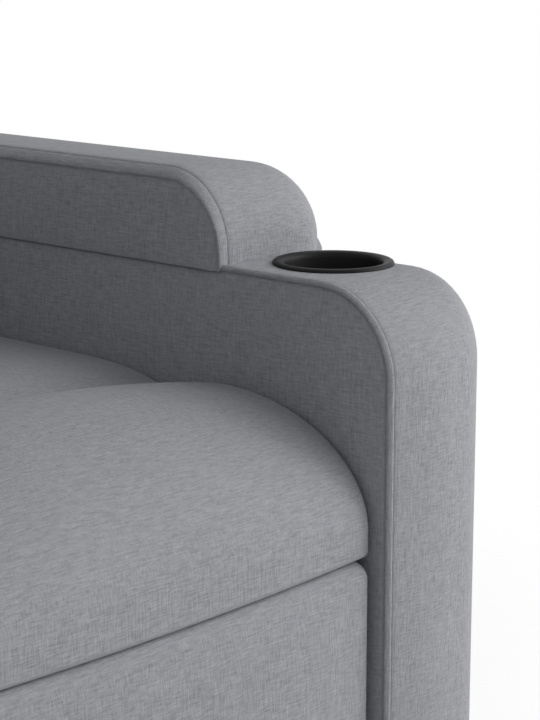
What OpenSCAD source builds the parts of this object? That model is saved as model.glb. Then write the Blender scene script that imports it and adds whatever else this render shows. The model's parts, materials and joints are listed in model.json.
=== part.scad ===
// Lift recliner chair, closed and upright. X runs across the seat, Y to the rear and Z up.
// The origin lies on the floor under the middle of the chair. All lengths are in millimetres.
// Pivots are points in the side plane, written [Y, Z] as they lie with the chair closed.

/* [Seat] */
// Clear width between the two arms
seat_w = 500; // [460:5:600]
// Gap between a cushion and the arm beside it
side_gap = 7; // [4:1:15]
// Height of the seat frame's top, where the cushion lies
seat_base = 345; // [345:1:360]
// Highest point of the seat cushion
seat_top = 503; // [485:1:540]
// Drop of the seat cushion's top from the middle to its sides
seat_crown = 22; // [10:1:30]
// Foremost point of the seat cushion's nose
nose_front = -458; // [-470:1:-440]
// Height of the nose's underside, just above the footrest
nose_under = 366; // [364:1:380]
// Bottom of the valley between the nose and the rear of the seat
valley_y = -205; // [-240:5:-180]
// Depth of that valley below the nose
valley_drop = 12; // [4:1:20]
// Rear end of the seat cushion
seat_rear = 62; // [40:1:66]
// Length of the seat cushion's tail, below the back cushion
seat_tail = 34; // [10:1:36]
// Height of that tail
seat_tail_z = 422; // [380:1:424]
// Height of the wooden seat rails
seat_rail_h = 45; // [35:1:45]
// Number of zigzag seat springs
seat_spring_n = 4; // [3:1:5]
// Wire thickness of the zigzag springs
spring_wire = 4; // [3:0.5:5]

/* [Arms] */
// Width of an arm
arm_w = 150; // [130:1:200]
// Front face of the arms
arm_front = -475; // [-490:1:-470]
// Rear end of the arms
arm_rear = 312; // [300:1:330]
// Underside of the arms
arm_under = 50; // [46:1:70]
// Height of the arms without their pads
arm_top = 580; // [560:1:610]
// Radius of the arm's top front corner, seen from the side
arm_nose_r = 75; // [40:1:90]
// Radius of the arm's outer front edge, seen from above
arm_edge_r = 57; // [20:1:60]
// Radius of the arm's outer top edge, seen from the front
arm_shoulder_r = 42; // [15:1:50]
// Wall of the arm's cover, with its foam
arm_wall = 6; // [4:1:10]
// Foam thickness on top of the arm
arm_foam = 46; // [44:1:60]
// Thickness of the wooden arm frame
arm_board = 22; // [18:1:22]
// Front end of the raised arm pad
pad_front = -288; // [-294:1:-270]
// Rear end of the raised arm pad
pad_rear = 290; // [270:1:292]
// Height of the raised pad above the arm
pad_h = 80; // [50:1:82]
// Radius of the pad's top front corner
pad_nose_r = 68; // [30:1:72]
// Radius of the pad's outer top edge
pad_shoulder_r = 50; // [20:1:60]

/* [Cup holders] */
// Centre of a cup holder, from front to rear
cup_y = -349; // [-352:1:-345]
// Outer diameter of the rim
cup_rim_d = 105; // [100:1:108]
// Inner diameter of the bowl
cup_bore_d = 86; // [70:1:88]
// Depth of the bowl
cup_depth = 70; // [50:1:90]
// Wall of the bowl
cup_wall = 2.4; // [1.6:0.1:3]
// Thickness of the rim above the arm
cup_rim_t = 4; // [2:0.5:6]
// Room between a bowl and the arm's wooden frame
cup_room = 1.5; // [0.5:0.1:5]

/* [Back] */
// Lean of the back from upright
back_lean = 18; // [14:0.5:20]
// Length of the back above its pivot
back_len = 705; // [660:1:720]
// Room between each arm and the part of the back between the arms
back_gap = 7; // [5:1:30]
// Half width of the back above the arms
back_high_half = 275; // [250:1:300]
// Distance above the pivot at which the back gets wider
wing_from = 340; // [338:1:380]
// Thickness of the back in front of its pivot line
back_fore = 125; // [100:1:128]
// Thickness of the back behind its pivot line
back_aft = 105; // [80:1:106]
// Thickness of the wooden back frame, front to rear
back_frame_t = 40; // [30:1:44]
// Width of the back frame's side rails
back_rail_w = 30; // [20:1:30]
// Radius of the back cushions' edges
back_round = 42; // [20:1:45]
// Gap between two cushions of the back
back_seam = 3; // [1:0.5:6]
// Lower end of the lumbar cushion above the pivot
lumbar_from = 62; // [60:1:100]
// Upper end of the middle cushion above the pivot
middle_to = 515; // [450:5:560]
// Wall of the back's rear cover
back_wall = 12; // [6:1:14]

/* [Footrest] */
// Height of the footrest pad's top edge, closed
foot_top = 361; // [330:1:361]
// Height of the footrest pad's lower edge, closed
foot_under = 100; // [80:1:140]
// Front face of the footrest pad, closed
foot_front = -463; // [-468:1:-455]
// Thickness of the footrest pad
foot_pad_t = 43; // [30:1:45]
// Thickness of the wooden footrest board
foot_board_t = 12; // [9:1:12]
// Radius of the footrest pad's edges
foot_round = 20; // [8:1:21]

/* [Lift linkage] */
// Lower pivot of the lift arms, on the base
lift_low = [-190, 75];
// Upper pivot of the lift arms, on the chassis
lift_high = [150, 95];
// Lower pivot of the front links, on the base
link_low = [-269.4, 65.4];
// Upper pivot of the front links, on the chassis
link_high = [-21.7, 80];
// Centre of the torque tube that joins the two lift arms
torque_at = [-178, 38];
// Diameter of the torque tube
torque_d = 24; // [18:1:28]
// Base pivot of the lift drive
lift_drive_low = [34.6, 61];
// Upper pin of the lift drive, on the crank
lift_drive_high = [-122, 289.5];
// Width of the lift arms
lift_arm_w = 30; // [24:1:34]
// Width of the front links
front_link_w = 20; // [16:1:22]

/* [Back and footrest linkage] */
// Pivot of the back, on the chassis
back_pivot = [165, 345];
// Chassis pivot of the reclining drive
recline_drive_fore = [-11, 307.6];
// Pin of the reclining drive, on the back
recline_drive_aft = [270.8, 199.4];
// Rear pin of the drag link, on the back
drag_aft = [141.7, 287.7];
// Front pin of the drag link, on the drive link
drag_fore = [-264.1, 226.5];
// Chassis pivot of the drive link
drive_pivot = [-270, 250];
// Chassis pivot of the rear link
rear_pivot = [-224.1, 286.2];
// Length of the drive link between its pivots
drive_len = 165; // [150:1:168]
// Angle of the drive link below the horizontal, closed
drive_angle = 100; // [96:0.5:104]
// Pin between the rear link and the long link
rear_pin = [-270.7, 98.3];
// Pin between the drive link and the upper link
upper_pin = [-308.7, 129.9];
// Lower pin of the footrest bracket
toe_pin = [-385, 250];
// Upper pin of the footrest bracket
heel_pin = [-394.3, 294];
// Distance of the footrest's cross tube from the drive link's pivot
drive_tube_along = 70; // [50:1:90]
// Diameter of the footrest's cross tube
foot_tube_d = 18; // [14:1:19]
// Width of the footrest links
link_w = 19; // [16:1:20]
// Thickness of the links
link_t = 4; // [3:0.5:4]
// Gap between two layers of links
layer_gap = 2.5; // [2.3:0.1:4]
// Diameter of the pins and rivets
pin_d = 10; // [8:0.5:11]
// Thickness of a rivet's head
rivet_t = 1.1; // [0.8:0.1:1.1]
// Running clearance round a pin
pin_fit = 0.3; // [0.2:0.05:0.4]
// Extra clearance round the rear link's loose pin
rear_slack = 0.7; // [0.6:0.1:1.2]
// Extra clearance round the upper link's loose pin
upper_slack = 0.9; // [0.8:0.1:1.3]
// Extra clearance round the drag link's loose pin
drag_slack = 2.4; // [2.3:0.1:3]
// Extra clearance round the front link's loose pin
front_slack = 1.1; // [1:0.1:1.6]

/* [Chassis] */
// From an arm to the inside face of the chassis plate beside it
plate_inset = 60; // [58:1:64]
// Thickness of the chassis plates
plate_t = 4; // [3:0.5:5]
// Diameter of the chassis cross tubes
cross_tube_d = 25; // [20:1:28]
// Wall of the round tubes
tube_wall = 2; // [1.5:0.1:3]
// Top of the panel behind the seat
panel_top = 280; // [240:1:285]
// Underside of the panel behind the seat
panel_under = 90; // [70:1:120]
// Thickness of the panel behind the seat
panel_t = 12; // [6:1:12]

/* [Base] */
// Height of the glides under the base
glide_h = 12; // [8:1:12]
// Diameter of the glides
glide_d = 40; // [30:1:44]
// Height of the base's steel tubes
base_tube_h = 30; // [25:1:30]
// Width of the base's side tubes
base_tube_w = 28; // [20:1:28]
// Wall of the base's steel tubes
base_wall = 2; // [1.5:0.1:3]
// Front end of the base
base_front = -310; // [-330:1:-300]
// Rear end of the base
base_rear = 318; // [300:1:330]
// Thickness of the base's brackets and of the lift arms
lift_plate_t = 5; // [4:0.5:5]

/* [Drives] */
// Outer diameter of a drive's fixed tube
drive_tube_d = 30; // [24:1:32]
// Diameter of a drive's push rod
drive_rod_d = 18; // [14:1:20]
// Diameter of a drive's motor
motor_d = 44; // [36:1:46]
// Length of a drive's motor
motor_len = 92; // [70:1:100]
// Place of the reclining drive to the side of the middle
recline_drive_x = 110; // [95:1:120]
// Half width of a fork's opening
fork_half = 13; // [12:0.5:16]
// Thickness of a fork's cheeks
fork_t = 5; // [4:0.5:6]
// Play along the lift drive's slotted eye
lift_slot = 9.6; // [9.4:0.1:11]
// Play along the reclining drive's slotted eye
recline_slot = 4.9; // [4.7:0.1:6]

/* [Pockets and handset] */
// Width of a side pocket, front to rear
pocket_w = 190; // [150:1:230]
// Height of a side pocket
pocket_h = 150; // [120:1:155]
// Depth of a side pocket, out from the arm
pocket_d = 28; // [24:1:40]
// Wall of a side pocket
pocket_wall = 3; // [2:0.5:4]
// Centre of the pockets, from front to rear
pocket_y = -60; // [-120:5:40]
// Underside of the pockets
pocket_under = 250; // [200:5:300]
// Width of the handset
handset_w = 52; // [46:1:60]
// Length of the handset
handset_len = 210; // [208:1:230]
// Thickness of the handset
handset_t = 20; // [16:1:20]
// Travel of a handset button
key_travel = 1.5; // [1:0.1:2]

/* [Hidden] */
$fn = 72;

// Colours
fabric_grey = [0.55, 0.56, 0.58];
steel_black = [0.13, 0.13, 0.14];
steel_bright = [0.70, 0.71, 0.73];
wood_tan = [0.76, 0.62, 0.44];
plastic_black = [0.06, 0.06, 0.07];
plastic_grey = [0.35, 0.36, 0.38];
rubber_black = [0.09, 0.09, 0.09];

// Sides of the chair
arm_in = seat_w / 2;
arm_out = arm_in + arm_w;
arm_mid = arm_in + arm_w / 2;
cushion_half = arm_in - side_gap;
back_low_half = arm_in - back_gap;

// Layers of the linkage, from inside to outside, on the left side of the chair
plate_x = arm_in - plate_inset;
plate_end = plate_x + plate_t;
in_x = plate_x - layer_gap - link_t;
in_end = in_x + link_t;
deep_x = in_x - layer_gap - link_t;
deep_end = deep_x + link_t;
out_x = plate_end + layer_gap;
out_end = out_x + link_t;
front_x = out_end + layer_gap;
front_end = front_x + link_t;
lift_x = front_end + layer_gap;
lift_end = lift_x + lift_plate_t;
base_x = lift_end + layer_gap;
base_end = base_x + lift_plate_t;

// Heights of the base
base_z = glide_h;
base_top = base_z + base_tube_h;
seat_rail_z = seat_base - seat_rail_h;
seat_rail_x = out_end + layer_gap + 1;
flange_t = 4;

// Pins
pin_r = pin_d / 2;
head_r = pin_r + 4;
run_r = pin_r + pin_fit;
lobe_r = link_w / 2;

// Drive link's lower pivot, found from its length and angle
drive_pin = drive_pivot + drive_len * [cos(drive_angle), -sin(drive_angle)];

function angle_of(v) = atan2(v.y, v.x);
function turned(v, a) = [v.x * cos(a) - v.y * sin(a), v.x * sin(a) + v.y * cos(a)];

// ---------------------------------------------------------------- shapes that repeat

// Copies a piece of the left side to the right side
module both_sides() {
    children();
    mirror([1, 0, 0]) children();
}

// Extrudes an outline of the side plane from x0 to x1
module across(x0, x1) {
    translate([x0, 0, 0]) rotate([90, 0, 90]) linear_extrude(x1 - x0) children();
}

// Extrudes an outline seen from the front, drawn in X and Z, from y0 to y1
module along(y0, y1) {
    translate([0, y1, 0]) rotate([90, 0, 0]) linear_extrude(y1 - y0) children();
}

// A round bar across the chair, centred on a point of the side plane
module cross_bar(at, x0, x1, r) {
    translate([x0, at.x, at.y]) rotate([0, 90, 0]) cylinder(h = x1 - x0, r = r);
}

// A headed pin that holds the layers from x0 to x1, with a head outside each end
module rivet(at, x0, x1, r = pin_r, head = head_r) {
    cross_bar(at, x0, x1, r);
    cross_bar(at, x0 - rivet_t, x0, head);
    cross_bar(at, x1, x1 + rivet_t, head);
}

// A straight bar with round ends between two points
module bar_2d(from, to, w) {
    span = norm(to - from);
    translate(from) rotate(angle_of(to - from)) {
        circle(d = w);
        translate([span, 0]) circle(d = w);
        translate([0, -w / 2]) square([span, w]);
    }
}

module hole_2d(at, r) { translate(at) circle(r); }

// The piece of square corner outside a fillet
module corner_cut(at, r, turn) {
    if (r > 0) translate(at) rotate(turn) difference() {
        translate([-1, -1]) square(r + 1);
        translate([r, r]) circle(r);
    }
}

// A rectangle from p to q whose corners have the radii [p corner, right, q corner, left]
module round_rect(p, q, r) {
    difference() {
        translate(p) square(q - p);
        corner_cut(p, r[0], 0);
        corner_cut([q.x, p.y], r[1], 90);
        corner_cut(q, r[2], 180);
        corner_cut([p.x, q.y], r[3], 270);
    }
}

// Places a piece in the back's own directions: z up along the back, y to its rear
module on_back() {
    translate([0, back_pivot.x, back_pivot.y]) rotate([-back_lean, 0, 0]) children();
}

// Places a piece with its z axis along the line between two points of the side plane
module along_line(x, from, to) {
    translate([x, from.x, from.y]) rotate([angle_of(to - from) - 90, 0, 0]) children();
}

// Outline of a zigzag spring bent from one wire, from y0 to y1
module zigzag_2d(y0, y1, wide, pitch, wire) {
    turns = floor((y1 - y0 - wire) / pitch);
    step = (y1 - y0 - wire) / turns;
    start = y0 + wire / 2;
    reach = wide / 2 - step / 2;
    for (i = [0 : turns - 1]) {
        side = (i % 2 == 0) ? 1 : -1;
        translate([side * reach, start + (i + 0.5) * step]) difference() {
            circle(d = step + wire, $fn = 32);
            circle(d = step - wire, $fn = 32);
            translate([side > 0 ? -step : 0, -step]) square([step, 2 * step]);
        }
    }
    for (i = [1 : turns - 1]) translate([-reach, start + i * step - wire / 2]) square([2 * reach, wire]);
}

// ---------------------------------------------------------------- base on the floor

module floor_glides() {
    inset = glide_d / 2 + 10;
    color(rubber_black) both_sides() for (y = [base_front + inset, base_rear - inset])
        translate([base_end + base_tube_w / 2, y, 0]) {
            cylinder(h = glide_h - 3, d = glide_d);
            translate([0, 0, glide_h - 3]) cylinder(h = 3, d = base_tube_w - 4);
        }
}

module box_tube(size, wall) {
    difference() {
        cube(size);
        translate([wall, -1, wall]) cube([size.x - 2 * wall, size.y + 2, size.z - 2 * wall]);
    }
}

module base_side_rails() {
    color(steel_black) both_sides() translate([base_end, base_front, base_z])
        box_tube([base_tube_w, base_rear - base_front, base_tube_h], base_wall);
}

cross_tube_ys = [base_front + 6, lift_drive_low.x - base_tube_h / 2, base_rear - base_tube_h - 36];

module base_cross_tubes() {
    color(steel_black) for (y = cross_tube_ys)
        translate([-base_end, y, base_z]) difference() {
            cube([2 * base_end, base_tube_h, base_tube_h]);
            translate([-1, base_wall, base_wall])
                cube([2 * base_end + 2, base_tube_h - 2 * base_wall, base_tube_h - 2 * base_wall]);
        }
}

bracket_round = 16;
bracket_foot = 14;

module base_pivot_brackets() {
    color(steel_black) {
        both_sides() difference() {
            across(base_x, base_end) difference() {
                union() {
                    bar_2d(link_low, lift_low, 2 * bracket_round);
                    translate([link_low.x - bracket_foot, base_top])
                        square([lift_low.x - link_low.x + 2 * bracket_foot, link_low.y - base_top]);
                }
                hole_2d(link_low, pin_r);
                hole_2d(lift_low, pin_r);
            }
        }
        for (x = [-fork_half - fork_t, fork_half]) across(x, x + fork_t) difference() {
            union() {
                translate(lift_drive_low) circle(12);
                translate([lift_drive_low.x - 12, base_top]) square([24, lift_drive_low.y - base_top]);
            }
            hole_2d(lift_drive_low, pin_r);
        }
    }
}

module base_pivot_pins() {
    color(steel_bright) {
        both_sides() {
            rivet(lift_low, lift_x - pin_fit, base_end);
            rivet(link_low, front_x - pin_fit, base_end);
        }
        rivet(lift_drive_low, -fork_half - fork_t, fork_half + fork_t);
    }
}

supply_w = 150;
supply_h = 42;
supply_d = 60;
inlet_w = 28;
inlet_h = 20;

module power_supply() {
    y = cross_tube_ys[2] + base_tube_h - supply_d;
    color(plastic_black) difference() {
        translate([-supply_w / 2, y, base_top]) cube([supply_w, supply_d, supply_h]);
        translate([-inlet_w / 2, y + supply_d - 14, base_top + (supply_h - inlet_h) / 2])
            cube([inlet_w, 15, inlet_h]);
        for (i = [-5 : 5])
            translate([i * 12 - 2, y + 8, base_top + supply_h - 3]) cube([4, supply_d - 30, 4]);
    }
}

// ---------------------------------------------------------------- lifting linkage

module lift_arms() {
    color(steel_black) both_sides() across(lift_x, lift_end) difference() {
        union() {
            bar_2d(lift_low, lift_high, lift_arm_w);
            bar_2d(lift_low, torque_at, lift_arm_w);
            translate(lift_high) circle(lift_arm_w / 2 + 3);
        }
        hole_2d(lift_low, run_r);
        hole_2d(lift_high, pin_r);
        hole_2d(torque_at, torque_d / 2);
    }
}

crank_w = 26;

module lift_torque_tube() {
    color(steel_black) {
        difference() {
            cross_bar(torque_at, -lift_end, lift_end, torque_d / 2);
            cross_bar(torque_at, -lift_end - 1, lift_end + 1, torque_d / 2 - tube_wall);
        }
        for (x = [-fork_half - fork_t, fork_half]) across(x, x + fork_t) difference() {
            union() {
                bar_2d(torque_at, lift_drive_high, crank_w);
                translate(torque_at) circle(torque_d / 2 + 7);
            }
            hole_2d(torque_at, torque_d / 2);
            hole_2d(lift_drive_high, pin_r);
        }
    }
}

module lift_arm_pins() {
    color(steel_bright) {
        both_sides() {
            rivet(lift_high, plate_x - pin_fit, lift_end);
            difference() {
                cross_bar(lift_high, plate_end + pin_fit, lift_x, pin_r + 4);
                cross_bar(lift_high, plate_end, lift_x + 1, pin_r);
            }
        }
        rivet(lift_drive_high, -fork_half - fork_t, fork_half + fork_t);
    }
}

module front_links() {
    color(steel_black) both_sides() across(front_x, front_end) difference() {
        bar_2d(link_low, link_high, front_link_w);
        hole_2d(link_low, run_r);
        hole_2d(link_high, run_r + front_slack);
    }
}

// ---------------------------------------------------------------- linear drives
// Each drive is drawn upright at the origin and then laid between its two pins.

drive_head_h = 58;
lift_len = norm(lift_drive_high - lift_drive_low);
lift_tube_len = 196;
recline_len = norm(recline_drive_aft - recline_drive_fore);
recline_tube_len = 168;
recline_rod_len = 152;
eye_half = fork_half - 1;

// Gear housing with its fork eye and the motor, which points to one side
module drive_motor(side) {
    difference() {
        union() {
            rotate([0, 90, 0]) translate([0, 0, -eye_half]) cylinder(h = 2 * eye_half, r = 11);
            translate([-eye_half, -11, 0]) cube([2 * eye_half, 22, 16]);
            translate([-22, -22, 15]) cube([44, 44, drive_head_h - 15]);
            translate([side * 22, 0, 15 + motor_d / 2]) rotate([0, side * 90, 0]) {
                cylinder(h = motor_len, d = motor_d);
                translate([0, 0, motor_len]) cylinder(h = 6, d1 = motor_d, d2 = motor_d - 10);
            }
        }
        rotate([0, 90, 0]) translate([0, 0, -eye_half - 1]) cylinder(h = 2 * eye_half + 2, r = run_r);
        translate([0, 0, drive_head_h - 12]) cylinder(h = 13, d = drive_tube_d);
    }
}

// Fixed tube, seated in the gear housing, with its end bush
module drive_tube(length) {
    difference() {
        union() {
            translate([0, 0, drive_head_h - 12]) cylinder(h = length - drive_head_h + 12, d = drive_tube_d);
            translate([0, 0, length - 14]) cylinder(h = 14, d = drive_tube_d + 6);
        }
        translate([0, 0, drive_head_h - 10]) cylinder(h = length, d = drive_rod_d + 2 * pin_fit);
    }
}

slot_fit = 0.4;

// Push rod with a slotted eye, in which its pin slides outward halfway through the travel
module drive_rod(pin_at, bottom, play) {
    difference() {
        union() {
            translate([0, 0, bottom]) cylinder(h = pin_at - bottom - 8, d = drive_rod_d);
            across(-eye_half, eye_half) bar_2d([0, pin_at], [0, pin_at + play], 2 * pin_r + 13);
        }
        translate([-eye_half - 1, 0, 0]) rotate([90, 0, 90]) linear_extrude(2 * eye_half + 2)
            bar_2d([0, pin_at], [0, pin_at + play], 2 * (run_r + slot_fit));
    }
}

module lift_drive_motor() {
    color(plastic_black) along_line(0, lift_drive_low, lift_drive_high) drive_motor(1);
}

module lift_drive_tube() {
    color(steel_bright) along_line(0, lift_drive_low, lift_drive_high) drive_tube(lift_tube_len);
}

module lift_drive_rod() {
    color(steel_bright) along_line(0, lift_drive_low, lift_drive_high)
        drive_rod(lift_len, drive_head_h + 2, lift_slot);
}

module recline_drive_motor() {
    color(plastic_black) along_line(recline_drive_x, recline_drive_fore, recline_drive_aft) drive_motor(-1);
}

module recline_drive_tube() {
    color(steel_bright) along_line(recline_drive_x, recline_drive_fore, recline_drive_aft)
        drive_tube(recline_tube_len);
}

module recline_drive_rod() {
    color(steel_bright) along_line(recline_drive_x, recline_drive_fore, recline_drive_aft)
        drive_rod(recline_len, recline_len - recline_rod_len, recline_slot);
}

// ---------------------------------------------------------------- chassis under the seat

tube_fore = [recline_drive_fore.x - 29, recline_drive_fore.y + 7];
tube_low = [(link_high.x + lift_high.x) / 2, (link_high.y + lift_high.y) / 2 + 22];
flange_front = rear_pivot.x + 34;
flange_rear = back_pivot.x - 55;
mount_ys = [flange_front + 25, (flange_front + flange_rear) / 2, flange_rear - 25];
mount_x = plate_end + 32;
mount_r = 4;

module plate_2d() {
    top = seat_rail_z;
    difference() {
        union() {
            polygon([
                [drive_pivot.x - 8, drive_pivot.y - 14], [drive_pivot.x - 14, drive_pivot.y + 8],
                [rear_pivot.x - 10, rear_pivot.y + 10], [flange_front, top], [back_pivot.x - 20, top],
                [back_pivot.x + 22, back_pivot.y], [lift_high.x + 24, lift_high.y],
                [lift_high.x, lift_high.y - 22], [link_high.x, link_high.y - 17],
                [link_high.x - 17, link_high.y], [link_high.x - 34, link_high.y + 120],
                [rear_pivot.x + 30, drive_pivot.y - 14]
            ]);
            translate(drive_pivot) circle(17);
            translate(rear_pivot) circle(14);
            translate(link_high) circle(17);
            translate(lift_high) circle(24);
            translate(back_pivot) circle(24);
            translate(tube_fore) circle(cross_tube_d / 2 + 6);
        }
        hole_2d(drive_pivot, run_r);
        hole_2d(rear_pivot, pin_r);
        hole_2d(link_high, pin_r);
        hole_2d(lift_high, run_r);
        hole_2d(back_pivot, pin_r);
        hole_2d(tube_fore, cross_tube_d / 2);
        hole_2d(tube_low, cross_tube_d / 2);
        hole_2d([tube_low.x + 10, tube_low.y + 100], 38);
        hole_2d([tube_fore.x - 75, (drive_pivot.y + rear_pivot.y) / 2], 16);
    }
}

module chassis_side_plates() {
    color(steel_black) both_sides() {
        across(plate_x, plate_end) plate_2d();
        difference() {
            translate([plate_end, flange_front, seat_rail_z - flange_t])
                cube([mount_x + 14 - plate_end, flange_rear - flange_front, flange_t]);
            for (y = mount_ys) translate([mount_x, y, seat_rail_z - flange_t - 1])
                cylinder(h = flange_t + 2, r = mount_r);
        }
    }
}

module chassis_cross_tubes() {
    color(steel_black) {
        for (at = [tube_fore, tube_low]) difference() {
            cross_bar(at, -plate_end, plate_end, cross_tube_d / 2);
            cross_bar(at, -plate_end - 1, plate_end + 1, cross_tube_d / 2 - tube_wall);
        }
        for (x = [-fork_half - fork_t, fork_half])
            across(recline_drive_x + x, recline_drive_x + x + fork_t) difference() {
                bar_2d(tube_fore, recline_drive_fore, 22);
                hole_2d(tube_fore, cross_tube_d / 2);
                hole_2d(recline_drive_fore, pin_r);
            }
    }
}

module chassis_pins() {
    color(steel_bright) {
        both_sides() {
            rivet(rear_pivot, plate_x, out_end + pin_fit);
            rivet(link_high, plate_x, front_end + pin_fit);
            rivet(back_pivot, in_x - pin_fit, plate_end);
        }
        rivet(recline_drive_fore, recline_drive_x - fork_half - fork_t, recline_drive_x + fork_half + fork_t);
    }
}

rail_front = -345;
rail_rear = back_pivot.x - 55;
cross_rail_t = 25;
front_rail_z = rear_pivot.y + 26;
rear_rail_y = 20;
rear_rail_d = 42;
rear_rail_z = drag_aft.y + 35;
arm_bolt_z = seat_rail_z + seat_rail_h / 2;
arm_bolt_ys = [-240, -60, 70];

module seat_frame() {
    color(wood_tan) difference() {
        union() {
            both_sides() translate([seat_rail_x, rail_front, seat_rail_z])
                cube([arm_in - seat_rail_x, rail_rear - rail_front, seat_rail_h]);
            translate([-seat_rail_x, rail_front, front_rail_z])
                cube([2 * seat_rail_x, cross_rail_t, seat_base - front_rail_z]);
            translate([-seat_rail_x, rear_rail_y, rear_rail_z])
                cube([2 * seat_rail_x, rear_rail_d, seat_base - rear_rail_z]);
        }
        both_sides() {
            for (y = mount_ys) translate([mount_x, y, seat_rail_z - 1]) cylinder(h = seat_rail_h + 2, r = mount_r);
            for (y = arm_bolt_ys) cross_bar([y, arm_bolt_z], seat_rail_x - 1, arm_in + 1, mount_r);
        }
    }
}

spring_w = 52;
spring_pitch = 26;

module seat_springs() {
    span = 2 * (in_x - 20) - spring_w;
    color(steel_bright) for (i = [0 : seat_spring_n - 1])
        translate([(i / (seat_spring_n - 1) - 0.5) * span, 0, seat_base - spring_wire])
            linear_extrude(spring_wire)
                zigzag_2d(rail_front + cross_rail_t, rear_rail_y, spring_w, spring_pitch, spring_wire);
}

// Seat cushion: one outline from the side, crossed with its crown and its rounded corners
nose_mid = nose_under + (seat_top - nose_under) * 0.42;
nose_reach = 172;

function nose_arc(a) = [nose_front + nose_reach * (1 - cos(a)), nose_mid + (seat_top - nose_mid) * sin(a)];

module seat_side_2d() {
    rear_top = seat_top - 3;
    polygon(concat(
        [[rail_front - 4, seat_base], [rail_front - 6, nose_under], [nose_front + 24, nose_under],
            [nose_front + 8, nose_under + 7]],
        [for (a = [-8 : 8 : 104]) nose_arc(a)],
        [for (t = [0.15 : 0.1 : 0.95]) [
            valley_y - 42 + t * 130,
            seat_top - valley_drop * (0.5 - 0.5 * cos(360 * min(1, t + 0.12)))
        ]],
        [[valley_y + 110, rear_top], [seat_rear - 24, rear_top - 4], [seat_rear - 7, rear_top - 16],
            [seat_rear, rear_top - 36], [seat_rear, seat_tail_z + 12], [seat_rear + 12, seat_tail_z],
            [seat_rear + seat_tail - 8, seat_tail_z - 12], [seat_rear + seat_tail, seat_tail_z - 24],
            [seat_rear + seat_tail, seat_base]]
    ));
}

module crown_2d(half, z0, top, drop, r) {
    big_r = (half * half + drop * drop) / (2 * drop);
    intersection() {
        round_rect([-half, z0], [half, top], [r / 2, r / 2, r, r]);
        translate([0, top - big_r]) circle(big_r, $fn = 360);
    }
}

module seat_cushion() {
    color(fabric_grey) intersection() {
        across(-cushion_half, cushion_half) seat_side_2d();
        along(nose_front - 1, seat_rear + seat_tail + 1)
            crown_2d(cushion_half, seat_base - 1, seat_top, seat_crown, 26);
        translate([0, 0, seat_base - 2]) linear_extrude(seat_top)
            round_rect([-cushion_half, nose_front - 1], [cushion_half, seat_rear + seat_tail + 1], [34, 34, 12, 12]);
    }
}

// ---------------------------------------------------------------- arms

module arm_body() {
    intersection() {
        across(arm_in, arm_out)
            round_rect([arm_front, arm_under], [arm_rear, arm_top], [6, 6, 14, arm_nose_r]);
        along(arm_front, arm_rear)
            round_rect([arm_in, arm_under], [arm_out, arm_top], [0, 6, arm_shoulder_r, 3]);
        translate([0, 0, arm_under]) linear_extrude(arm_top - arm_under)
            round_rect([arm_in, arm_front], [arm_out, arm_rear], [3, arm_edge_r, 14, 3]);
    }
}

// The hollow ends below the arm's round shoulder, and flat bevels keep it clear of its round edges
hollow_top = arm_top - max(arm_foam, arm_shoulder_r + 2);
nose_bevel = 0.6 * (arm_nose_r - arm_wall);
edge_bevel = 0.6 * (arm_edge_r - arm_wall);

module arm_hollow() {
    y0 = arm_front + arm_wall;
    y1 = arm_rear - arm_wall - 6;
    z0 = arm_under + arm_wall;
    z1 = arm_top - arm_wall;
    x0 = arm_in + arm_wall;
    x1 = arm_out - arm_wall;
    intersection() {
        across(x0, x1) intersection() {
            polygon([[y0, z0], [y1, z0], [y1, z1], [y0 + nose_bevel, z1], [y0, z1 - nose_bevel]]);
            translate([y0, z0]) square([y1 - y0, hollow_top - z0]);
        }
        translate([0, 0, z0]) linear_extrude(z1 - z0)
            polygon([[x0, y0], [x1 - edge_bevel, y0], [x1, y0 + edge_bevel], [x1, y1], [x0, y1]]);
    }
}

module arm_cover_left() {
    difference() {
        arm_body();
        arm_hollow();
        translate([arm_mid, cup_y, arm_top - arm_foam - 1]) cylinder(h = arm_foam + 2, d = cup_bore_d + 2 * cup_wall);
        for (y = arm_bolt_ys) cross_bar([y, arm_bolt_z], arm_in - 1, arm_in + arm_wall + 1, mount_r);
    }
}

module left_arm_cover() { color(fabric_grey) arm_cover_left(); }

module right_arm_cover() { color(fabric_grey) mirror([1, 0, 0]) arm_cover_left(); }

frame_front = arm_front + arm_nose_r + 6;
frame_rear = arm_rear - 30;

module arm_frame_left() {
    x0 = arm_in + arm_wall;
    z0 = arm_under + arm_wall;
    z1 = hollow_top;
    post = 50;
    reach = arm_w - 2 * arm_wall - arm_board - 6;
    difference() {
        union() {
            across(x0, x0 + arm_board) difference() {
                translate([frame_front, z0]) square([frame_rear - frame_front, z1 - z0]);
                translate([frame_front + post, z0 + post])
                    square([frame_rear - frame_front - 2 * post, arm_bolt_z - 25 - z0 - post]);
                translate([frame_front + post, arm_bolt_z + 25])
                    square([frame_rear - frame_front - 2 * post, z1 - post - arm_bolt_z - 25]);
            }
            for (y = [pad_front + 24, (pad_front + frame_rear) / 2, frame_rear - arm_board])
                translate([x0 + arm_board, y, z1 - post])
                    cube([reach, arm_board, post]);
            translate([x0 + arm_board, frame_rear - arm_board, z0]) cube([reach, arm_board, post]);
            translate([x0 + arm_board, frame_front, z0]) cube([reach - arm_edge_r / 2, arm_board, post]);
        }
        for (y = arm_bolt_ys) cross_bar([y, arm_bolt_z], x0 - 1, x0 + arm_board + 1, mount_r);
        translate([arm_mid, cup_y, arm_top - cup_depth + cup_rim_t - cup_wall - cup_room])
            cylinder(h = cup_depth, r = cup_bore_d / 2 + cup_wall + cup_room);
    }
}

module left_arm_frame() { color(wood_tan) arm_frame_left(); }

module right_arm_frame() { color(wood_tan) mirror([1, 0, 0]) arm_frame_left(); }

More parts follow.
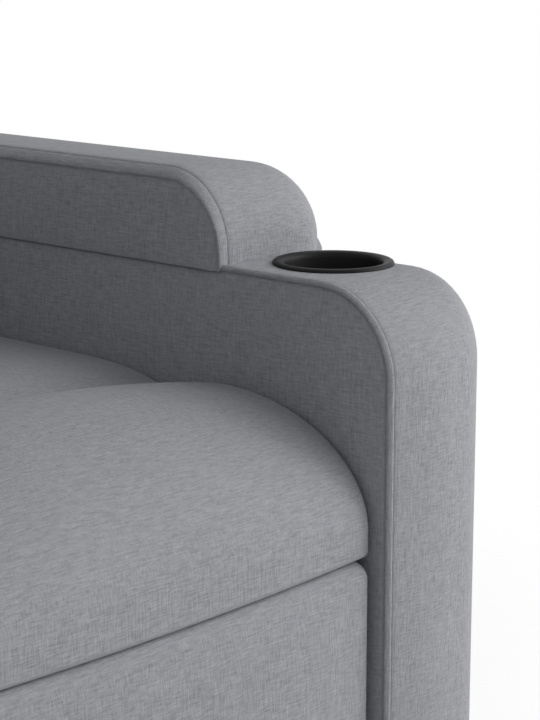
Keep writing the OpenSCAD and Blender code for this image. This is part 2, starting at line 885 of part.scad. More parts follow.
module arm_pad_left() {
    z1 = arm_top + pad_h;
    x0 = arm_in - 2;
    intersection() {
        across(x0, arm_out) round_rect([pad_front, arm_top], [pad_rear, z1], [3, 10, 45, pad_nose_r]);
        along(pad_front, pad_rear) round_rect([x0, arm_top], [arm_out, z1], [3, 10, pad_shoulder_r, 12]);
        translate([0, 0, arm_top]) linear_extrude(pad_h)
            round_rect([x0, pad_front], [arm_out, pad_rear], [6, 46, 30, 6]);
    }
}

module left_arm_pad() { color(fabric_grey) arm_pad_left(); }

module right_arm_pad() { color(fabric_grey) mirror([1, 0, 0]) arm_pad_left(); }

module cup_holder_left() {
    bowl_r = cup_bore_d / 2;
    rim_r = cup_rim_d / 2;
    translate([arm_mid, cup_y, arm_top]) rotate_extrude() difference() {
        union() {
            translate([0, -cup_depth + cup_rim_t - cup_wall]) square([bowl_r + cup_wall, cup_depth + cup_wall]);
            square([rim_r - 2, cup_rim_t]);
            translate([0, 0]) square([rim_r, cup_rim_t - 2]);
            translate([rim_r - 2, cup_rim_t - 2]) circle(2, $fn = 32);
        }
        translate([0, -cup_depth + cup_rim_t]) square([bowl_r, cup_depth + 1]);
    }
}

module left_cup_holder() { color(plastic_black) cup_holder_left(); }

module right_cup_holder() { color(plastic_black) mirror([1, 0, 0]) cup_holder_left(); }

bolt_head_r = 8;
bolt_head_t = 5;

// Bolt in a hole of the same radius, with its head below or inside and its nut at the far end
module bolt_across(at, x0, x1) {
    cross_bar(at, x0, x1, mount_r);
    cross_bar(at, x0 - bolt_head_t, x0, bolt_head_r);
    cross_bar(at, x1, x1 + bolt_head_t, bolt_head_r);
}

module arm_bolts() {
    color(steel_bright) both_sides() {
        for (y = arm_bolt_ys) bolt_across([y, arm_bolt_z], seat_rail_x, arm_in + arm_wall + arm_board);
        for (y = mount_ys) {
            translate([mount_x, y, seat_rail_z - flange_t]) cylinder(h = flange_t + seat_rail_h, r = mount_r);
            translate([mount_x, y, seat_rail_z - flange_t - bolt_head_t])
                cylinder(h = bolt_head_t, r = bolt_head_r, $fn = 6);
        }
    }
}

module lower_back_panel() {
    color(fabric_grey) along(arm_rear - panel_t, arm_rear)
        round_rect([-arm_in, panel_under], [arm_in, panel_top], [4, 4, 4, 4]);
}

control_w = 180;
control_h = 40;
control_d = 46;

module control_box() {
    color(plastic_black) difference() {
        translate([-control_w / 2, rail_front + cross_rail_t, seat_base - 8 - control_h])
            cube([control_w, control_d, control_h]);
        for (i = [-2 : 2])
            translate([i * 30 - 9, rail_front + cross_rail_t + control_d - 10, seat_base - control_h + 2])
                cube([18, 11, 12]);
    }
}

// ---------------------------------------------------------------- side pockets and handset

module pocket_left() {
    y0 = pocket_y - pocket_w / 2;
    y1 = pocket_y + pocket_w / 2;
    top = pocket_under + pocket_h;
    difference() {
        translate([arm_out, 0, 0]) intersection() {
            across(0, pocket_d) round_rect([y0, pocket_under], [y1, top], [24, 24, 4, 4]);
            along(y0, y1) round_rect([0, pocket_under], [pocket_d, top], [0, 14, 2, 0]);
        }
        translate([arm_out + pocket_wall, y0 + pocket_wall, pocket_under + pocket_wall])
            cube([pocket_d - 2 * pocket_wall, pocket_w - 2 * pocket_wall, pocket_h]);
    }
}

module left_side_pocket() { color(fabric_grey) pocket_left(); }

module right_side_pocket() { color(fabric_grey) mirror([1, 0, 0]) pocket_left(); }

handset_z = pocket_under + pocket_wall;
handset_x = -(arm_out + pocket_d / 2);
handset_y = pocket_y;
handset_top = handset_z + handset_len;
key_d = 13;
key_rows = [16, 38];
key_column = 12;
key_face = 2.5;
key_well = 7;
key_gap = 0.4;

// The handset stands in the right pocket, its face outward
module handset_outline() { round_rect([-handset_w / 2, 0], [handset_w / 2, handset_len], [10, 10, 18, 18]); }

module handset_body() {
    x0 = handset_x - handset_t / 2;
    color(plastic_black) difference() {
        translate([0, handset_y, handset_z]) across(x0, x0 + handset_t) handset_outline();
        for (row = key_rows, side = [-1, 1])
            translate([x0 - 1, handset_y + side * key_column, handset_top - row]) rotate([0, 90, 0])
                cylinder(h = key_well + 1, d = key_d + 2 * key_gap);
    }
}

module handset_key(row, side) {
    x0 = handset_x - handset_t / 2;
    color(plastic_grey) translate([x0 - key_face, handset_y + side * key_column, handset_top - row])
        rotate([0, 90, 0]) cylinder(h = key_face + key_well - key_travel - pin_fit, d = key_d);
}

module handset_lift_key() { handset_key(key_rows[0], -1); }

module handset_lower_key() { handset_key(key_rows[1], -1); }

module handset_recline_key() { handset_key(key_rows[1], 1); }

module handset_upright_key() { handset_key(key_rows[0], 1); }

// ---------------------------------------------------------------- footrest linkage

module footrest_drive_links() {
    color(steel_black) both_sides() across(in_x, in_end) difference() {
        union() {
            bar_2d(drive_pivot, drive_pin, link_w);
            bar_2d(drive_pivot, drag_fore, link_w);
            bar_2d((drive_pivot + drive_pin) / 2, upper_pin, link_w);
            bar_2d(drive_pin, upper_pin, link_w);
        }
        hole_2d(drive_pivot, pin_r);
        hole_2d(drive_pin, pin_r);
        hole_2d(drag_fore, pin_r);
        hole_2d(upper_pin, pin_r);
    }
}

module footrest_drive_tube() {
    at = drive_pivot + drive_tube_along * [cos(drive_angle), -sin(drive_angle)];
    color(steel_black) difference() {
        cross_bar(at, -in_x, in_x, foot_tube_d / 2);
        cross_bar(at, -in_x - 1, in_x + 1, foot_tube_d / 2 - tube_wall);
    }
}

module footrest_drive_rivets() {
    color(steel_bright) both_sides() {
        rivet(drive_pivot, in_x, plate_end + pin_fit);
        rivet(drive_pin, in_x, plate_end + pin_fit);
        rivet(upper_pin, deep_x - pin_fit, in_end);
        rivet(drag_fore, deep_x - pin_fit, in_end);
    }
}

module footrest_rear_links() {
    color(steel_black) both_sides() across(out_x, out_end) difference() {
        bar_2d(rear_pivot, rear_pin, link_w);
        hole_2d(rear_pivot, run_r);
        hole_2d(rear_pin, run_r + rear_slack);
    }
}

module footrest_long_links() {
    color(steel_black) both_sides() across(plate_x, plate_end) difference() {
        union() {
            bar_2d(drive_pin, toe_pin, link_w);
            bar_2d(drive_pin, rear_pin, link_w);
        }
        hole_2d(drive_pin, run_r);
        hole_2d(toe_pin, pin_r);
        hole_2d(rear_pin, pin_r);
    }
}

module footrest_long_rivets() {
    color(steel_bright) both_sides() {
        rivet(rear_pin, plate_x, out_end + pin_fit);
        rivet(toe_pin, in_x - pin_fit, plate_end);
    }
}

module footrest_upper_links() {
    color(steel_black) both_sides() across(deep_x, deep_end) difference() {
        bar_2d(upper_pin, heel_pin, link_w);
        hole_2d(upper_pin, run_r);
        hole_2d(heel_pin, run_r + upper_slack);
    }
}

board_front = foot_front + foot_pad_t;
board_rear = board_front + foot_board_t;
foot_flange = 30;

bracket_drop = 70;

module footrest_brackets() {
    color(steel_black) both_sides() {
        across(in_x, in_end) difference() {
            union() {
                translate(toe_pin) circle(lobe_r);
                translate(heel_pin) circle(lobe_r);
                polygon([
                    [board_rear, toe_pin.y - bracket_drop], [board_rear + 10, toe_pin.y - bracket_drop],
                    [toe_pin.x + lobe_r, toe_pin.y], [heel_pin.x + lobe_r, heel_pin.y],
                    [board_rear + 8, heel_pin.y + 26], [board_rear, heel_pin.y + 26]
                ]);
            }
            hole_2d(toe_pin, run_r);
            hole_2d(heel_pin, pin_r);
        }
        translate([in_x - foot_flange, board_rear, toe_pin.y - 70])
            cube([foot_flange, 3, heel_pin.y + 26 - toe_pin.y + 70]);
    }
}

module footrest_bracket_rivets() {
    color(steel_bright) both_sides() rivet(heel_pin, deep_x - pin_fit, in_end);
}

module footrest_board() {
    color(wood_tan) along(board_front, board_rear)
        round_rect([-cushion_half + 12, foot_under + 14], [cushion_half - 12, foot_top - 12], [8, 8, 8, 8]);
}

module footrest_cushion() {
    half = cushion_half - 3;
    color(fabric_grey) intersection() {
        across(-half, half) round_rect([foot_front, foot_under], [board_front, foot_top],
            [foot_round, 3, 8, foot_round]);
        along(foot_front, board_front) round_rect([-half, foot_under], [half, foot_top], [14, 14, 14, 14]);
        translate([0, 0, foot_under]) linear_extrude(foot_top - foot_under)
            round_rect([-half, foot_front], [half, board_front], [foot_round, foot_round, 3, 3]);
    }
}

// ---------------------------------------------------------------- back

frame_face = -22;
back_tube_z = 52;
frame_from = 44;
frame_to = back_len - 30;

low_rail_z = 130;
rail_h = 34;
bracket_w = 34;
bracket_len = 190;

module back_frame() {
    color(wood_tan) on_back() {
        both_sides() translate([in_end, frame_face, frame_from])
            cube([back_rail_w, back_frame_t, frame_to - frame_from]);
        difference() {
            for (z = [low_rail_z, wing_from + 10, frame_to - rail_h])
                translate([-in_end, frame_face, z]) cube([2 * in_end, back_frame_t, rail_h]);
            both_sides() translate([in_x, -bracket_w / 2 - 0.2, frame_from])
                cube([link_t, back_frame_t, bracket_len]);
        }
    }
}

lever_half = fork_half + fork_t;

module back_brackets() {
    tube_at = back_pivot + turned([0, back_tube_z], -back_lean);
    color(steel_black) {
        both_sides() across(in_x, in_end) difference() {
            union() {
                bar_2d(back_pivot, back_pivot + turned([0, bracket_len], -back_lean), bracket_w);
                bar_2d(back_pivot, drag_aft, link_w);
                translate(back_pivot) circle(20);
            }
            hole_2d(back_pivot, run_r);
            hole_2d(drag_aft, pin_r);
            hole_2d(tube_at, cross_tube_d / 2);
        }
        difference() {
            cross_bar(tube_at, -in_end, in_end, cross_tube_d / 2);
            cross_bar(tube_at, -in_end - 1, in_end + 1, cross_tube_d / 2 - tube_wall);
        }
        for (x = [-lever_half, fork_half])
            across(recline_drive_x + x, recline_drive_x + x + fork_t) difference() {
                bar_2d(tube_at, recline_drive_aft, 30);
                hole_2d(tube_at, cross_tube_d / 2);
                hole_2d(recline_drive_aft, pin_r);
            }
    }
}

module back_rivets() {
    color(steel_bright) {
        both_sides() {
            rivet(drag_aft, deep_x - pin_fit, in_end);
            on_back() for (z = [low_rail_z - 40, low_rail_z + rail_h + 18])
                translate([in_x - 3, 0, z]) rotate([0, 90, 0]) cylinder(h = 3, r = 7);
        }
        rivet(recline_drive_aft, recline_drive_x - lever_half, recline_drive_x + lever_half);
    }
}

back_spring_step = 80;

module back_springs() {
    z0 = low_rail_z + rail_h;
    z1 = wing_from + 10;
    color(steel_bright) on_back() for (i = [-1.5:1:1.5])
        translate([i * back_spring_step, 0, 0]) along(frame_face, frame_face + spring_wire)
            zigzag_2d(z0, z1, spring_w, spring_pitch, spring_wire);
}

// A cushion of the back between two heights, with rounded edges all round its face
module back_cushion(z0, z1, half, r, fore) {
    intersection() {
        across(-half, half) round_rect([-fore, z0], [frame_face, z1], [r, 4, 4, r]);
        along(-fore, frame_face) round_rect([-half, z0], [half, z1], [16, 16, 16, 16]);
        translate([0, 0, z0]) linear_extrude(z1 - z0)
            round_rect([-half, -fore], [half, frame_face], [r, r, 4, 4]);
    }
}

module lumbar_cushion() {
    color(fabric_grey) on_back()
        back_cushion(lumbar_from, wing_from - back_seam, back_low_half - 3, back_round, back_fore);
}

module middle_cushion() {
    color(fabric_grey) on_back()
        back_cushion(wing_from, middle_to - back_seam, back_high_half - 3, back_round, back_fore - 4);
}

module head_cushion() {
    color(fabric_grey) on_back()
        back_cushion(middle_to, back_len, back_high_half - 3, back_round, back_fore - 2);
}

cover_from = 16;

module back_rear_cover() {
    cavity_half = in_end + back_rail_w + 1;
    color(fabric_grey) on_back() difference() {
        intersection() {
            across(-back_high_half, back_high_half)
                round_rect([frame_face, cover_from], [back_aft, back_len], [3, 30, 30, 3]);
            along(frame_face, back_aft) union() {
                round_rect([-back_low_half, cover_from], [back_low_half, wing_from + 60], [8, 8, 0, 0]);
                round_rect([-back_high_half, wing_from], [back_high_half, back_len], [16, 16, 40, 40]);
            }
            translate([0, 0, cover_from]) linear_extrude(back_len - cover_from)
                round_rect([-back_high_half, frame_face], [back_high_half, back_aft], [3, 3, 34, 34]);
        }
        translate([-cavity_half, frame_face - 1, -1])
            cube([2 * cavity_half, back_aft - frame_face + 1 - back_wall, frame_to + 2]);
    }
}

module drag_links() {
    color(steel_black) both_sides() across(deep_x, deep_end) difference() {
        union() {
            bar_2d(drag_aft, drag_fore, link_w - 3);
            translate(drag_fore) circle(run_r + drag_slack + 4);
        }
        hole_2d(drag_aft, run_r);
        hole_2d(drag_fore, run_r + drag_slack);
    }
}

floor_glides();
base_side_rails();
base_cross_tubes();
base_pivot_brackets();
base_pivot_pins();
power_supply();
lift_arms();
lift_torque_tube();
lift_arm_pins();
front_links();
lift_drive_motor();
lift_drive_tube();
lift_drive_rod();
chassis_side_plates();
chassis_cross_tubes();
chassis_pins();
seat_frame();
seat_springs();
seat_cushion();
left_arm_frame();
right_arm_frame();
left_arm_cover();
right_arm_cover();
left_arm_pad();
right_arm_pad();
left_cup_holder();
right_cup_holder();
lower_back_panel();
arm_bolts();
control_box();
left_side_pocket();
right_side_pocket();
handset_body();
handset_lift_key();
handset_lower_key();
handset_recline_key();
handset_upright_key();
footrest_drive_links();
footrest_drive_tube();
footrest_drive_rivets();
footrest_rear_links();
footrest_long_links();
footrest_long_rivets();
footrest_upper_links();
footrest_brackets();
footrest_bracket_rivets();
footrest_board();
footrest_cushion();
back_frame();
back_brackets();
back_springs();
lumbar_cushion();
middle_cushion();
head_cushion();
back_rear_cover();
back_rivets();
recline_drive_motor();
recline_drive_tube();
recline_drive_rod();
drag_links();
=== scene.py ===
"""Looks of a lift recliner chair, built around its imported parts.

Lengths are in metres, +Z is up, the chair faces -Y, and +X is the sitter's left.
"""

import json
import math
from dataclasses import dataclass

import bmesh
import bpy
import numpy as np
from mathutils import Matrix, Vector
from mathutils.bvhtree import BVHTree
from mathutils.kdtree import KDTree


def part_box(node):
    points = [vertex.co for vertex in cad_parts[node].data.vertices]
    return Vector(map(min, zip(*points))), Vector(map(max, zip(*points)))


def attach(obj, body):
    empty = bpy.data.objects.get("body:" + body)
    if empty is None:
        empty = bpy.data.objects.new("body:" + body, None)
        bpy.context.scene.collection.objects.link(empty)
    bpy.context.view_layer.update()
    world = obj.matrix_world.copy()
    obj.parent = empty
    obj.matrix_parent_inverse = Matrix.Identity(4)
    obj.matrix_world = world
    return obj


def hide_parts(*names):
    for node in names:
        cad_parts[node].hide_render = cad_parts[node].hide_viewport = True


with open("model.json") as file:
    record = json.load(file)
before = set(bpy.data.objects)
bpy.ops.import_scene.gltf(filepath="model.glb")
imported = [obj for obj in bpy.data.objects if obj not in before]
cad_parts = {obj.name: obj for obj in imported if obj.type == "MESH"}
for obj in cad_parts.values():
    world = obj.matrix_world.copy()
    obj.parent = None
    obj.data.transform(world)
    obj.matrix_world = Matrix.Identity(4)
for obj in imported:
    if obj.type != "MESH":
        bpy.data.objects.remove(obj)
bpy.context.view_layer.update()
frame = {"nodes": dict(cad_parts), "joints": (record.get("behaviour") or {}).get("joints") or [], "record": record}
scene = bpy.context.scene

# ---------------------------------------------------------------- sizes

# round edges of the arms, seen from the side and across
ARM_NOSE_R = 0.075
ARM_EDGE_R = 0.057
ARM_SHOULDER_R = 0.042
ARM_REAR_R = 0.014
ARM_FOOT_R = 0.006

# the pads on the arms
PAD_NOSE_R = 0.068
PAD_REAR_R = 0.045
PAD_EDGE_R = 0.044
PAD_SHOULDER_R = 0.047
PAD_END_R = 0.020
PAD_UNDER_R = 0.026
PAD_FOOT_R = 0.004
PAD_REAR_ROLL = 0.004
PAD_TOP_ROLL = 0.008
PAD_TOP_SLOPE = 0.008
PAD_SUNK = 0.005

# the back, measured from its pivot in its own directions: x, rearward and up
BACK_PIVOT = next(joint["pos_m"] for joint in frame["joints"] if joint["name"] == "recline")
BACK_LEAN = math.radians(18)
BACK_GAP = 0.007
BACK_LOW_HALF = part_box("left_arm_cover")[0].x - BACK_GAP
BACK_HIGH_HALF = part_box("back_rear_cover")[1].x
WING_FROM = 0.340
BACK_LEN = 0.705
COVER_FROM = 0.016
COVER_FACE = -0.022
COVER_REAR = 0.105

# the seat, from its rear edge over the hump and the valley to its front roll, the nose
SEAT_REAR_Y = 0.062
SEAT_TAIL_Z = 0.414
SEAT_CROWN = 0.022
SEAT_PROUD = 0.003
SEAT_EDGE_R = 0.007
HUMP_Y = -0.100
VALLEY_Y = -0.240
VALLEY_DROP = 0.020
NOSE_PEAK_Y = -0.306
NOSE_LEVEL = 0.383
NOSE_CURL = 0.007
NOSE_UNDER = 0.360
NOSE_SAG = 0.006
NOSE_BACK_Y = -0.402

# the footrest's pad; its edges are the low x, the high x, the bottom and the top
FOOT_TOP_PROUD = -0.002
FOOT_LOW_R = 0.014
FOOT_TOP_R = 0.012
FOOT_FACE_PUFF = 0.004
FOOT_EDGE_R = (0.005, 0.005, 0.016, 0.013)

# the swelling of the stuffed pieces
CUSHION_VOXEL = 0.006
CUSHION_INSET = 0.010
CUSHION_CAP = 0.022
SEAT_CAP = 0.004
SOFT_PROUD = 0.005
SIM_FRAMES = 20

CORD_STEP = 0.003

# ---------------------------------------------------------------- camera

CAMERA_AT = (-0.981, -1.484, 0.876)
CAMERA_AZIMUTH = math.radians(49)
CAMERA_LOOK_RIGHT = -0.0312
CAMERA_LOOK_UP = -0.22
CAMERA_LENS = 102.4
SENSOR = 36


def add_camera():
    """The photograph's own view of the sitter's left arm."""
    forward = Vector((math.sin(CAMERA_AZIMUTH), math.cos(CAMERA_AZIMUTH), 0))
    right = Vector((math.cos(CAMERA_AZIMUTH), -math.sin(CAMERA_AZIMUTH), 0))
    look = forward + CAMERA_LOOK_RIGHT * right + Vector((0, 0, CAMERA_LOOK_UP))
    data = bpy.data.cameras.new("camera")
    data.lens = CAMERA_LENS
    data.sensor_fit = "VERTICAL"
    data.sensor_width = SENSOR
    data.sensor_height = SENSOR
    data.clip_start = 0.01
    camera = bpy.data.objects.new("camera", data)
    camera.location = CAMERA_AT
    camera.rotation_euler = look.to_track_quat("-Z", "Y").to_euler()
    scene.collection.objects.link(camera)
    scene.camera = camera


# ---------------------------------------------------------------- node helpers


class Tree:
    """Short names for building a node tree."""

    def __init__(self, tree):
        self.tree = tree

    def node(self, kind, values=None, **settings):
        made = self.tree.nodes.new(kind)
        for name, value in settings.items():
            setattr(made, name, value)
        for name, value in (values or {}).items():
            made.inputs[name].default_value = value
        return made

    def link(self, source, target):
        self.tree.links.new(source, target)

    def math(self, operation, a, b=None, c=None):
        made = self.node("ShaderNodeMath", operation=operation)
        for socket, value in zip(made.inputs, (a, b, c)):
            if value is None:
                continue
            if isinstance(value, (int, float)):
                socket.default_value = value
            else:
                self.link(value, socket)
        return made.outputs[0]

    def mix(self, factor, low, high):
        made = self.node("ShaderNodeMix", data_type="RGBA")
        self.link(factor, made.inputs["Factor"])
        for name, value in (("A", low), ("B", high)):
            socket = [s for s in made.inputs if s.name == name and s.type == "RGBA"][0]
            if isinstance(value, tuple):
                socket.default_value = (*value, 1)
            else:
                self.link(value, socket)
        return [s for s in made.outputs if s.type == "RGBA"][0]

    def noise(self, vector, scale, detail=2.0, stretch=None):
        if stretch is not None:
            mapping = self.node("ShaderNodeMapping", {"Scale": stretch})
            self.link(vector, mapping.inputs["Vector"])
            vector = mapping.outputs[0]
        made = self.node("ShaderNodeTexNoise", {"Scale": scale, "Detail": detail})
        self.link(vector, made.inputs["Vector"])
        return made.outputs["Fac"]


def new_material(name, **shader_values):
    made = bpy.data.materials.new(name)
    made.use_nodes = True
    t = Tree(made.node_tree)
    shader = made.node_tree.nodes["Principled BSDF"]
    for key, value in shader_values.items():
        shader.inputs[key.replace("_", " ")].default_value = value
    coords = t.node("ShaderNodeTexCoord")
    return made, t, shader, coords


def add_bump(t, shader, height, distance, strength=1.0):
    bump = t.node("ShaderNodeBump", {"Distance": distance, "Strength": strength})
    t.link(height, bump.inputs["Height"])
    t.link(bump.outputs[0], shader.inputs["Normal"])


# ---------------------------------------------------------------- materials

FABRIC_DARK = (0.235, 0.242, 0.262)
FABRIC_LIGHT = (0.510, 0.520, 0.548)
THREADS_ACROSS = 700
THREADS_ALONG = 85
HEATHER_SCALE = 350
CLOUD_SCALE = 9
WEAVE_WEIGHT = 0.85
HEATHER_WEIGHT = 0.30
CLOUD_WEIGHT = 0.14
THREAD_HEIGHT = 0.0008
FABRIC_SHEEN = 0.12


def linen(name, dark, light):
    """Woven linen-look cloth: short uneven threads along both directions of every face."""
    made, t, shader, coords = new_material(
        name, Roughness=0.92, Sheen_Weight=FABRIC_SHEEN, Sheen_Roughness=0.45, IOR=1.4
    )
    shader.inputs["Specular IOR Level"].default_value = 0.25
    facing = t.node("ShaderNodeVectorMath", operation="ABSOLUTE")
    t.link(coords.outputs["Normal"], facing.inputs[0])
    parts = t.node("ShaderNodeSeparateXYZ")
    t.link(facing.outputs[0], parts.inputs[0])
    weave = None
    for axis in range(3):
        stretch = [THREADS_ACROSS] * 3
        stretch[axis] = THREADS_ALONG
        thread = t.noise(coords.outputs["Object"], 1.0, 2.0, stretch)
        centred = t.math("SUBTRACT", thread, 0.5)
        seen = t.math("SUBTRACT", 1.0, parts.outputs[axis])
        part = t.math("MULTIPLY", centred, seen)
        weave = part if weave is None else t.math("ADD", weave, part)
    cloud = t.math("SUBTRACT", t.noise(coords.outputs["Object"], CLOUD_SCALE, 3.0), 0.5)
    heather = t.math("SUBTRACT", t.noise(coords.outputs["Object"], HEATHER_SCALE, 2.0), 0.5)
    clouded = t.math("MULTIPLY_ADD", cloud, CLOUD_WEIGHT, 0.5)
    mixed = t.math("MULTIPLY_ADD", heather, HEATHER_WEIGHT, clouded)
    shade = t.math("MULTIPLY_ADD", weave, WEAVE_WEIGHT, mixed)
    t.link(t.mix(shade, dark, light), shader.inputs["Base Color"])
    add_bump(t, shader, weave, THREAD_HEIGHT, 0.6)
    return made


def moulded(name, colour, roughness, grain_scale=900, grain=0.00006, specular=0.5):
    """Black or grey moulded plastic with a fine grain and slight wear."""
    made, t, shader, coords = new_material(name, Roughness=roughness)
    shader.inputs["Specular IOR Level"].default_value = specular
    wear = t.noise(coords.outputs["Object"], 22, 4)
    lighter = tuple(min(1.0, c * 1.5 + 0.004) for c in colour)
    t.link(t.mix(wear, colour, lighter), shader.inputs["Base Color"])
    spread = t.math("MULTIPLY_ADD", wear, 0.12, roughness - 0.06)
    t.link(spread, shader.inputs["Roughness"])
    add_bump(t, shader, t.noise(coords.outputs["Object"], grain_scale, 2), grain)
    return made


def powder_coat():
    """Satin black powder coat with its orange peel."""
    made, t, shader, coords = new_material("powder_coat", Roughness=0.42)
    mottle = t.noise(coords.outputs["Object"], 30, 4)
    t.link(t.mix(mottle, (0.018, 0.018, 0.020), (0.042, 0.042, 0.046)), shader.inputs["Base Color"])
    t.link(t.math("MULTIPLY_ADD", mottle, 0.2, 0.34), shader.inputs["Roughness"])
    add_bump(t, shader, t.noise(coords.outputs["Object"], 420, 2), 0.00012)
    return made


def zinc():
    """Bright zinc plating, drawn along X."""
    made, t, shader, coords = new_material("zinc", Metallic=1.0, Roughness=0.32)
    drawn = t.noise(coords.outputs["Object"], 1.0, 3, (40, 900, 900))
    tint = t.noise(coords.outputs["Object"], 14, 3)
    t.link(t.mix(tint, (0.50, 0.51, 0.53), (0.72, 0.73, 0.74)), shader.inputs["Base Color"])
    t.link(t.math("MULTIPLY_ADD", drawn, 0.22, 0.22), shader.inputs["Roughness"])
    add_bump(t, shader, drawn, 0.00005)
    return made


def sawn_wood():
    """Pale sawn softwood with its grain along Y."""
    made, t, shader, coords = new_material("sawn_wood", Roughness=0.72)
    rings = t.noise(coords.outputs["Object"], 1.0, 3, (55, 4, 55))
    fibre = t.noise(coords.outputs["Object"], 1.0, 3, (700, 30, 700))
    tone = t.math("MULTIPLY_ADD", fibre, 0.35, t.math("MULTIPLY", rings, 0.7))
    t.link(t.mix(tone, (0.33, 0.20, 0.095), (0.66, 0.48, 0.29)), shader.inputs["Base Color"])
    add_bump(t, shader, fibre, 0.0003)
    return made


def rubber():
    made, t, shader, coords = new_material("rubber", Roughness=0.8)
    dust = t.noise(coords.outputs["Object"], 60, 4)
    t.link(t.mix(dust, (0.012, 0.012, 0.012), (0.05, 0.05, 0.05)), shader.inputs["Base Color"])
    add_bump(t, shader, dust, 0.0002)
    return made


fabric = linen("linen_grey", FABRIC_DARK, FABRIC_LIGHT)
cup_black = moulded("cup_black", (0.0040, 0.0040, 0.0044), 0.48, 1400, 0.00002, specular=0.14)
FINISHES = {
    "cover_fabric": fabric,
    "frame_steel": powder_coat(),
    "plated_steel": zinc(),
    "frame_wood": sawn_wood(),
    "drive_plastic": moulded("drive_black", (0.014, 0.014, 0.015), 0.55),
    "cup_plastic": cup_black,
    "handset_plastic": moulded("handset_black", (0.012, 0.012, 0.013), 0.48),
    "key_plastic": moulded("key_grey", (0.13, 0.135, 0.145), 0.5, 1200, 0.00003),
    "glide_rubber": rubber(),
}


def dress_cad_nodes():
    """Gives every CAD node its finish, smooth round faces and slightly broken edges."""
    for part in frame["record"]["subparts"]:
        obj = frame["nodes"][part["node"]]
        obj.data.materials.clear()
        obj.data.materials.append(FINISHES[part["material_slot"]])
        if part["material_slot"] == "cover_fabric":
            continue
        weld = obj.modifiers.new("weld", "WELD")
        weld.merge_threshold = 0.00002
        bevel = obj.modifiers.new("edge", "BEVEL")
        bevel.width = 0.0006
        bevel.segments = 2
        bevel.limit_method = "ANGLE"
        bevel.angle_limit = math.radians(40)
        bevel.use_clamp_overlap = True
        bevel.harden_normals = True
        obj.data.shade_smooth()


# ---------------------------------------------------------------- mesh helpers


def add_object(name, mesh, material):
    obj = bpy.data.objects.new(name, mesh)
    scene.collection.objects.link(obj)
    mesh.materials.clear()
    mesh.materials.append(material)
    mesh.shade_smooth()
    return obj


def coordinates(mesh):
    flat = np.zeros(len(mesh.vertices) * 3)
    mesh.vertices.foreach_get("co", flat)
    return flat.reshape(-1, 3)


def normals_of(mesh):
    flat = np.zeros(len(mesh.vertices) * 3)
    mesh.vertex_normals.foreach_get("vector", flat)
    return flat.reshape(-1, 3)


def set_coordinates(mesh, points):
    mesh.vertices.foreach_set("co", np.asarray(points, float).ravel())
    mesh.update()


def apply_modifiers(obj):
    depsgraph = bpy.context.evaluated_depsgraph_get()
    made = bpy.data.meshes.new_from_object(obj.evaluated_get(depsgraph))
    obj.modifiers.clear()
    old = obj.data
    obj.data = made
    bpy.data.meshes.remove(old)
    made.shade_smooth()


def subdivide(obj, levels=1):
    modifier = obj.modifiers.new("finer", "SUBSURF")
    modifier.levels = levels
    modifier.render_levels = levels
    apply_modifiers(obj)


def skin(name, rings, material, body, open_ends=False):
    """A surface through rings of points, each with the same count, closed by a fan at both ends."""
    rings = np.asarray(rings, float)
    count, around = rings.shape[:2]
    points = [tuple(p) for p in rings.reshape(-1, 3)]
    faces = []
    for i in range(count - 1):
        for j in range(around):
            k = (j + 1) % around
            faces.append((i * around + j, i * around + k, (i + 1) * around + k, (i + 1) * around + j))
    if not open_ends:
        for ring in (0, count - 1):
            points.append(tuple(rings[ring].mean(0)))
            centre = len(points) - 1
            for j in range(around):
                faces.append((ring * around + j, ring * around + (j + 1) % around, centre))
    mesh = bpy.data.meshes.new(name)
    mesh.from_pydata(points, [], faces)
    work = bmesh.new()
    work.from_mesh(mesh)
    bmesh.ops.recalc_face_normals(work, faces=work.faces)
    work.to_mesh(mesh)
    work.free()
    obj = add_object(name, mesh, material)
    obj["body"] = body
    return obj


def mirrored(points, side):
    flipped = np.array(points, float)
    flipped[..., 0] *= side
    return flipped


def at_x(loop, x):
    """A loop of (y, z) points at one x, or at an x for each point."""
    return np.column_stack([np.broadcast_to(x, len(loop)), loop])


def at_y(loop, y):
    """A loop of (x, z) points at one y."""
    return np.column_stack([loop[:, 0], np.full(len(loop), y), loop[:, 1]])


def shrunk(loop, centre, share):
    return centre + (loop - centre) * share


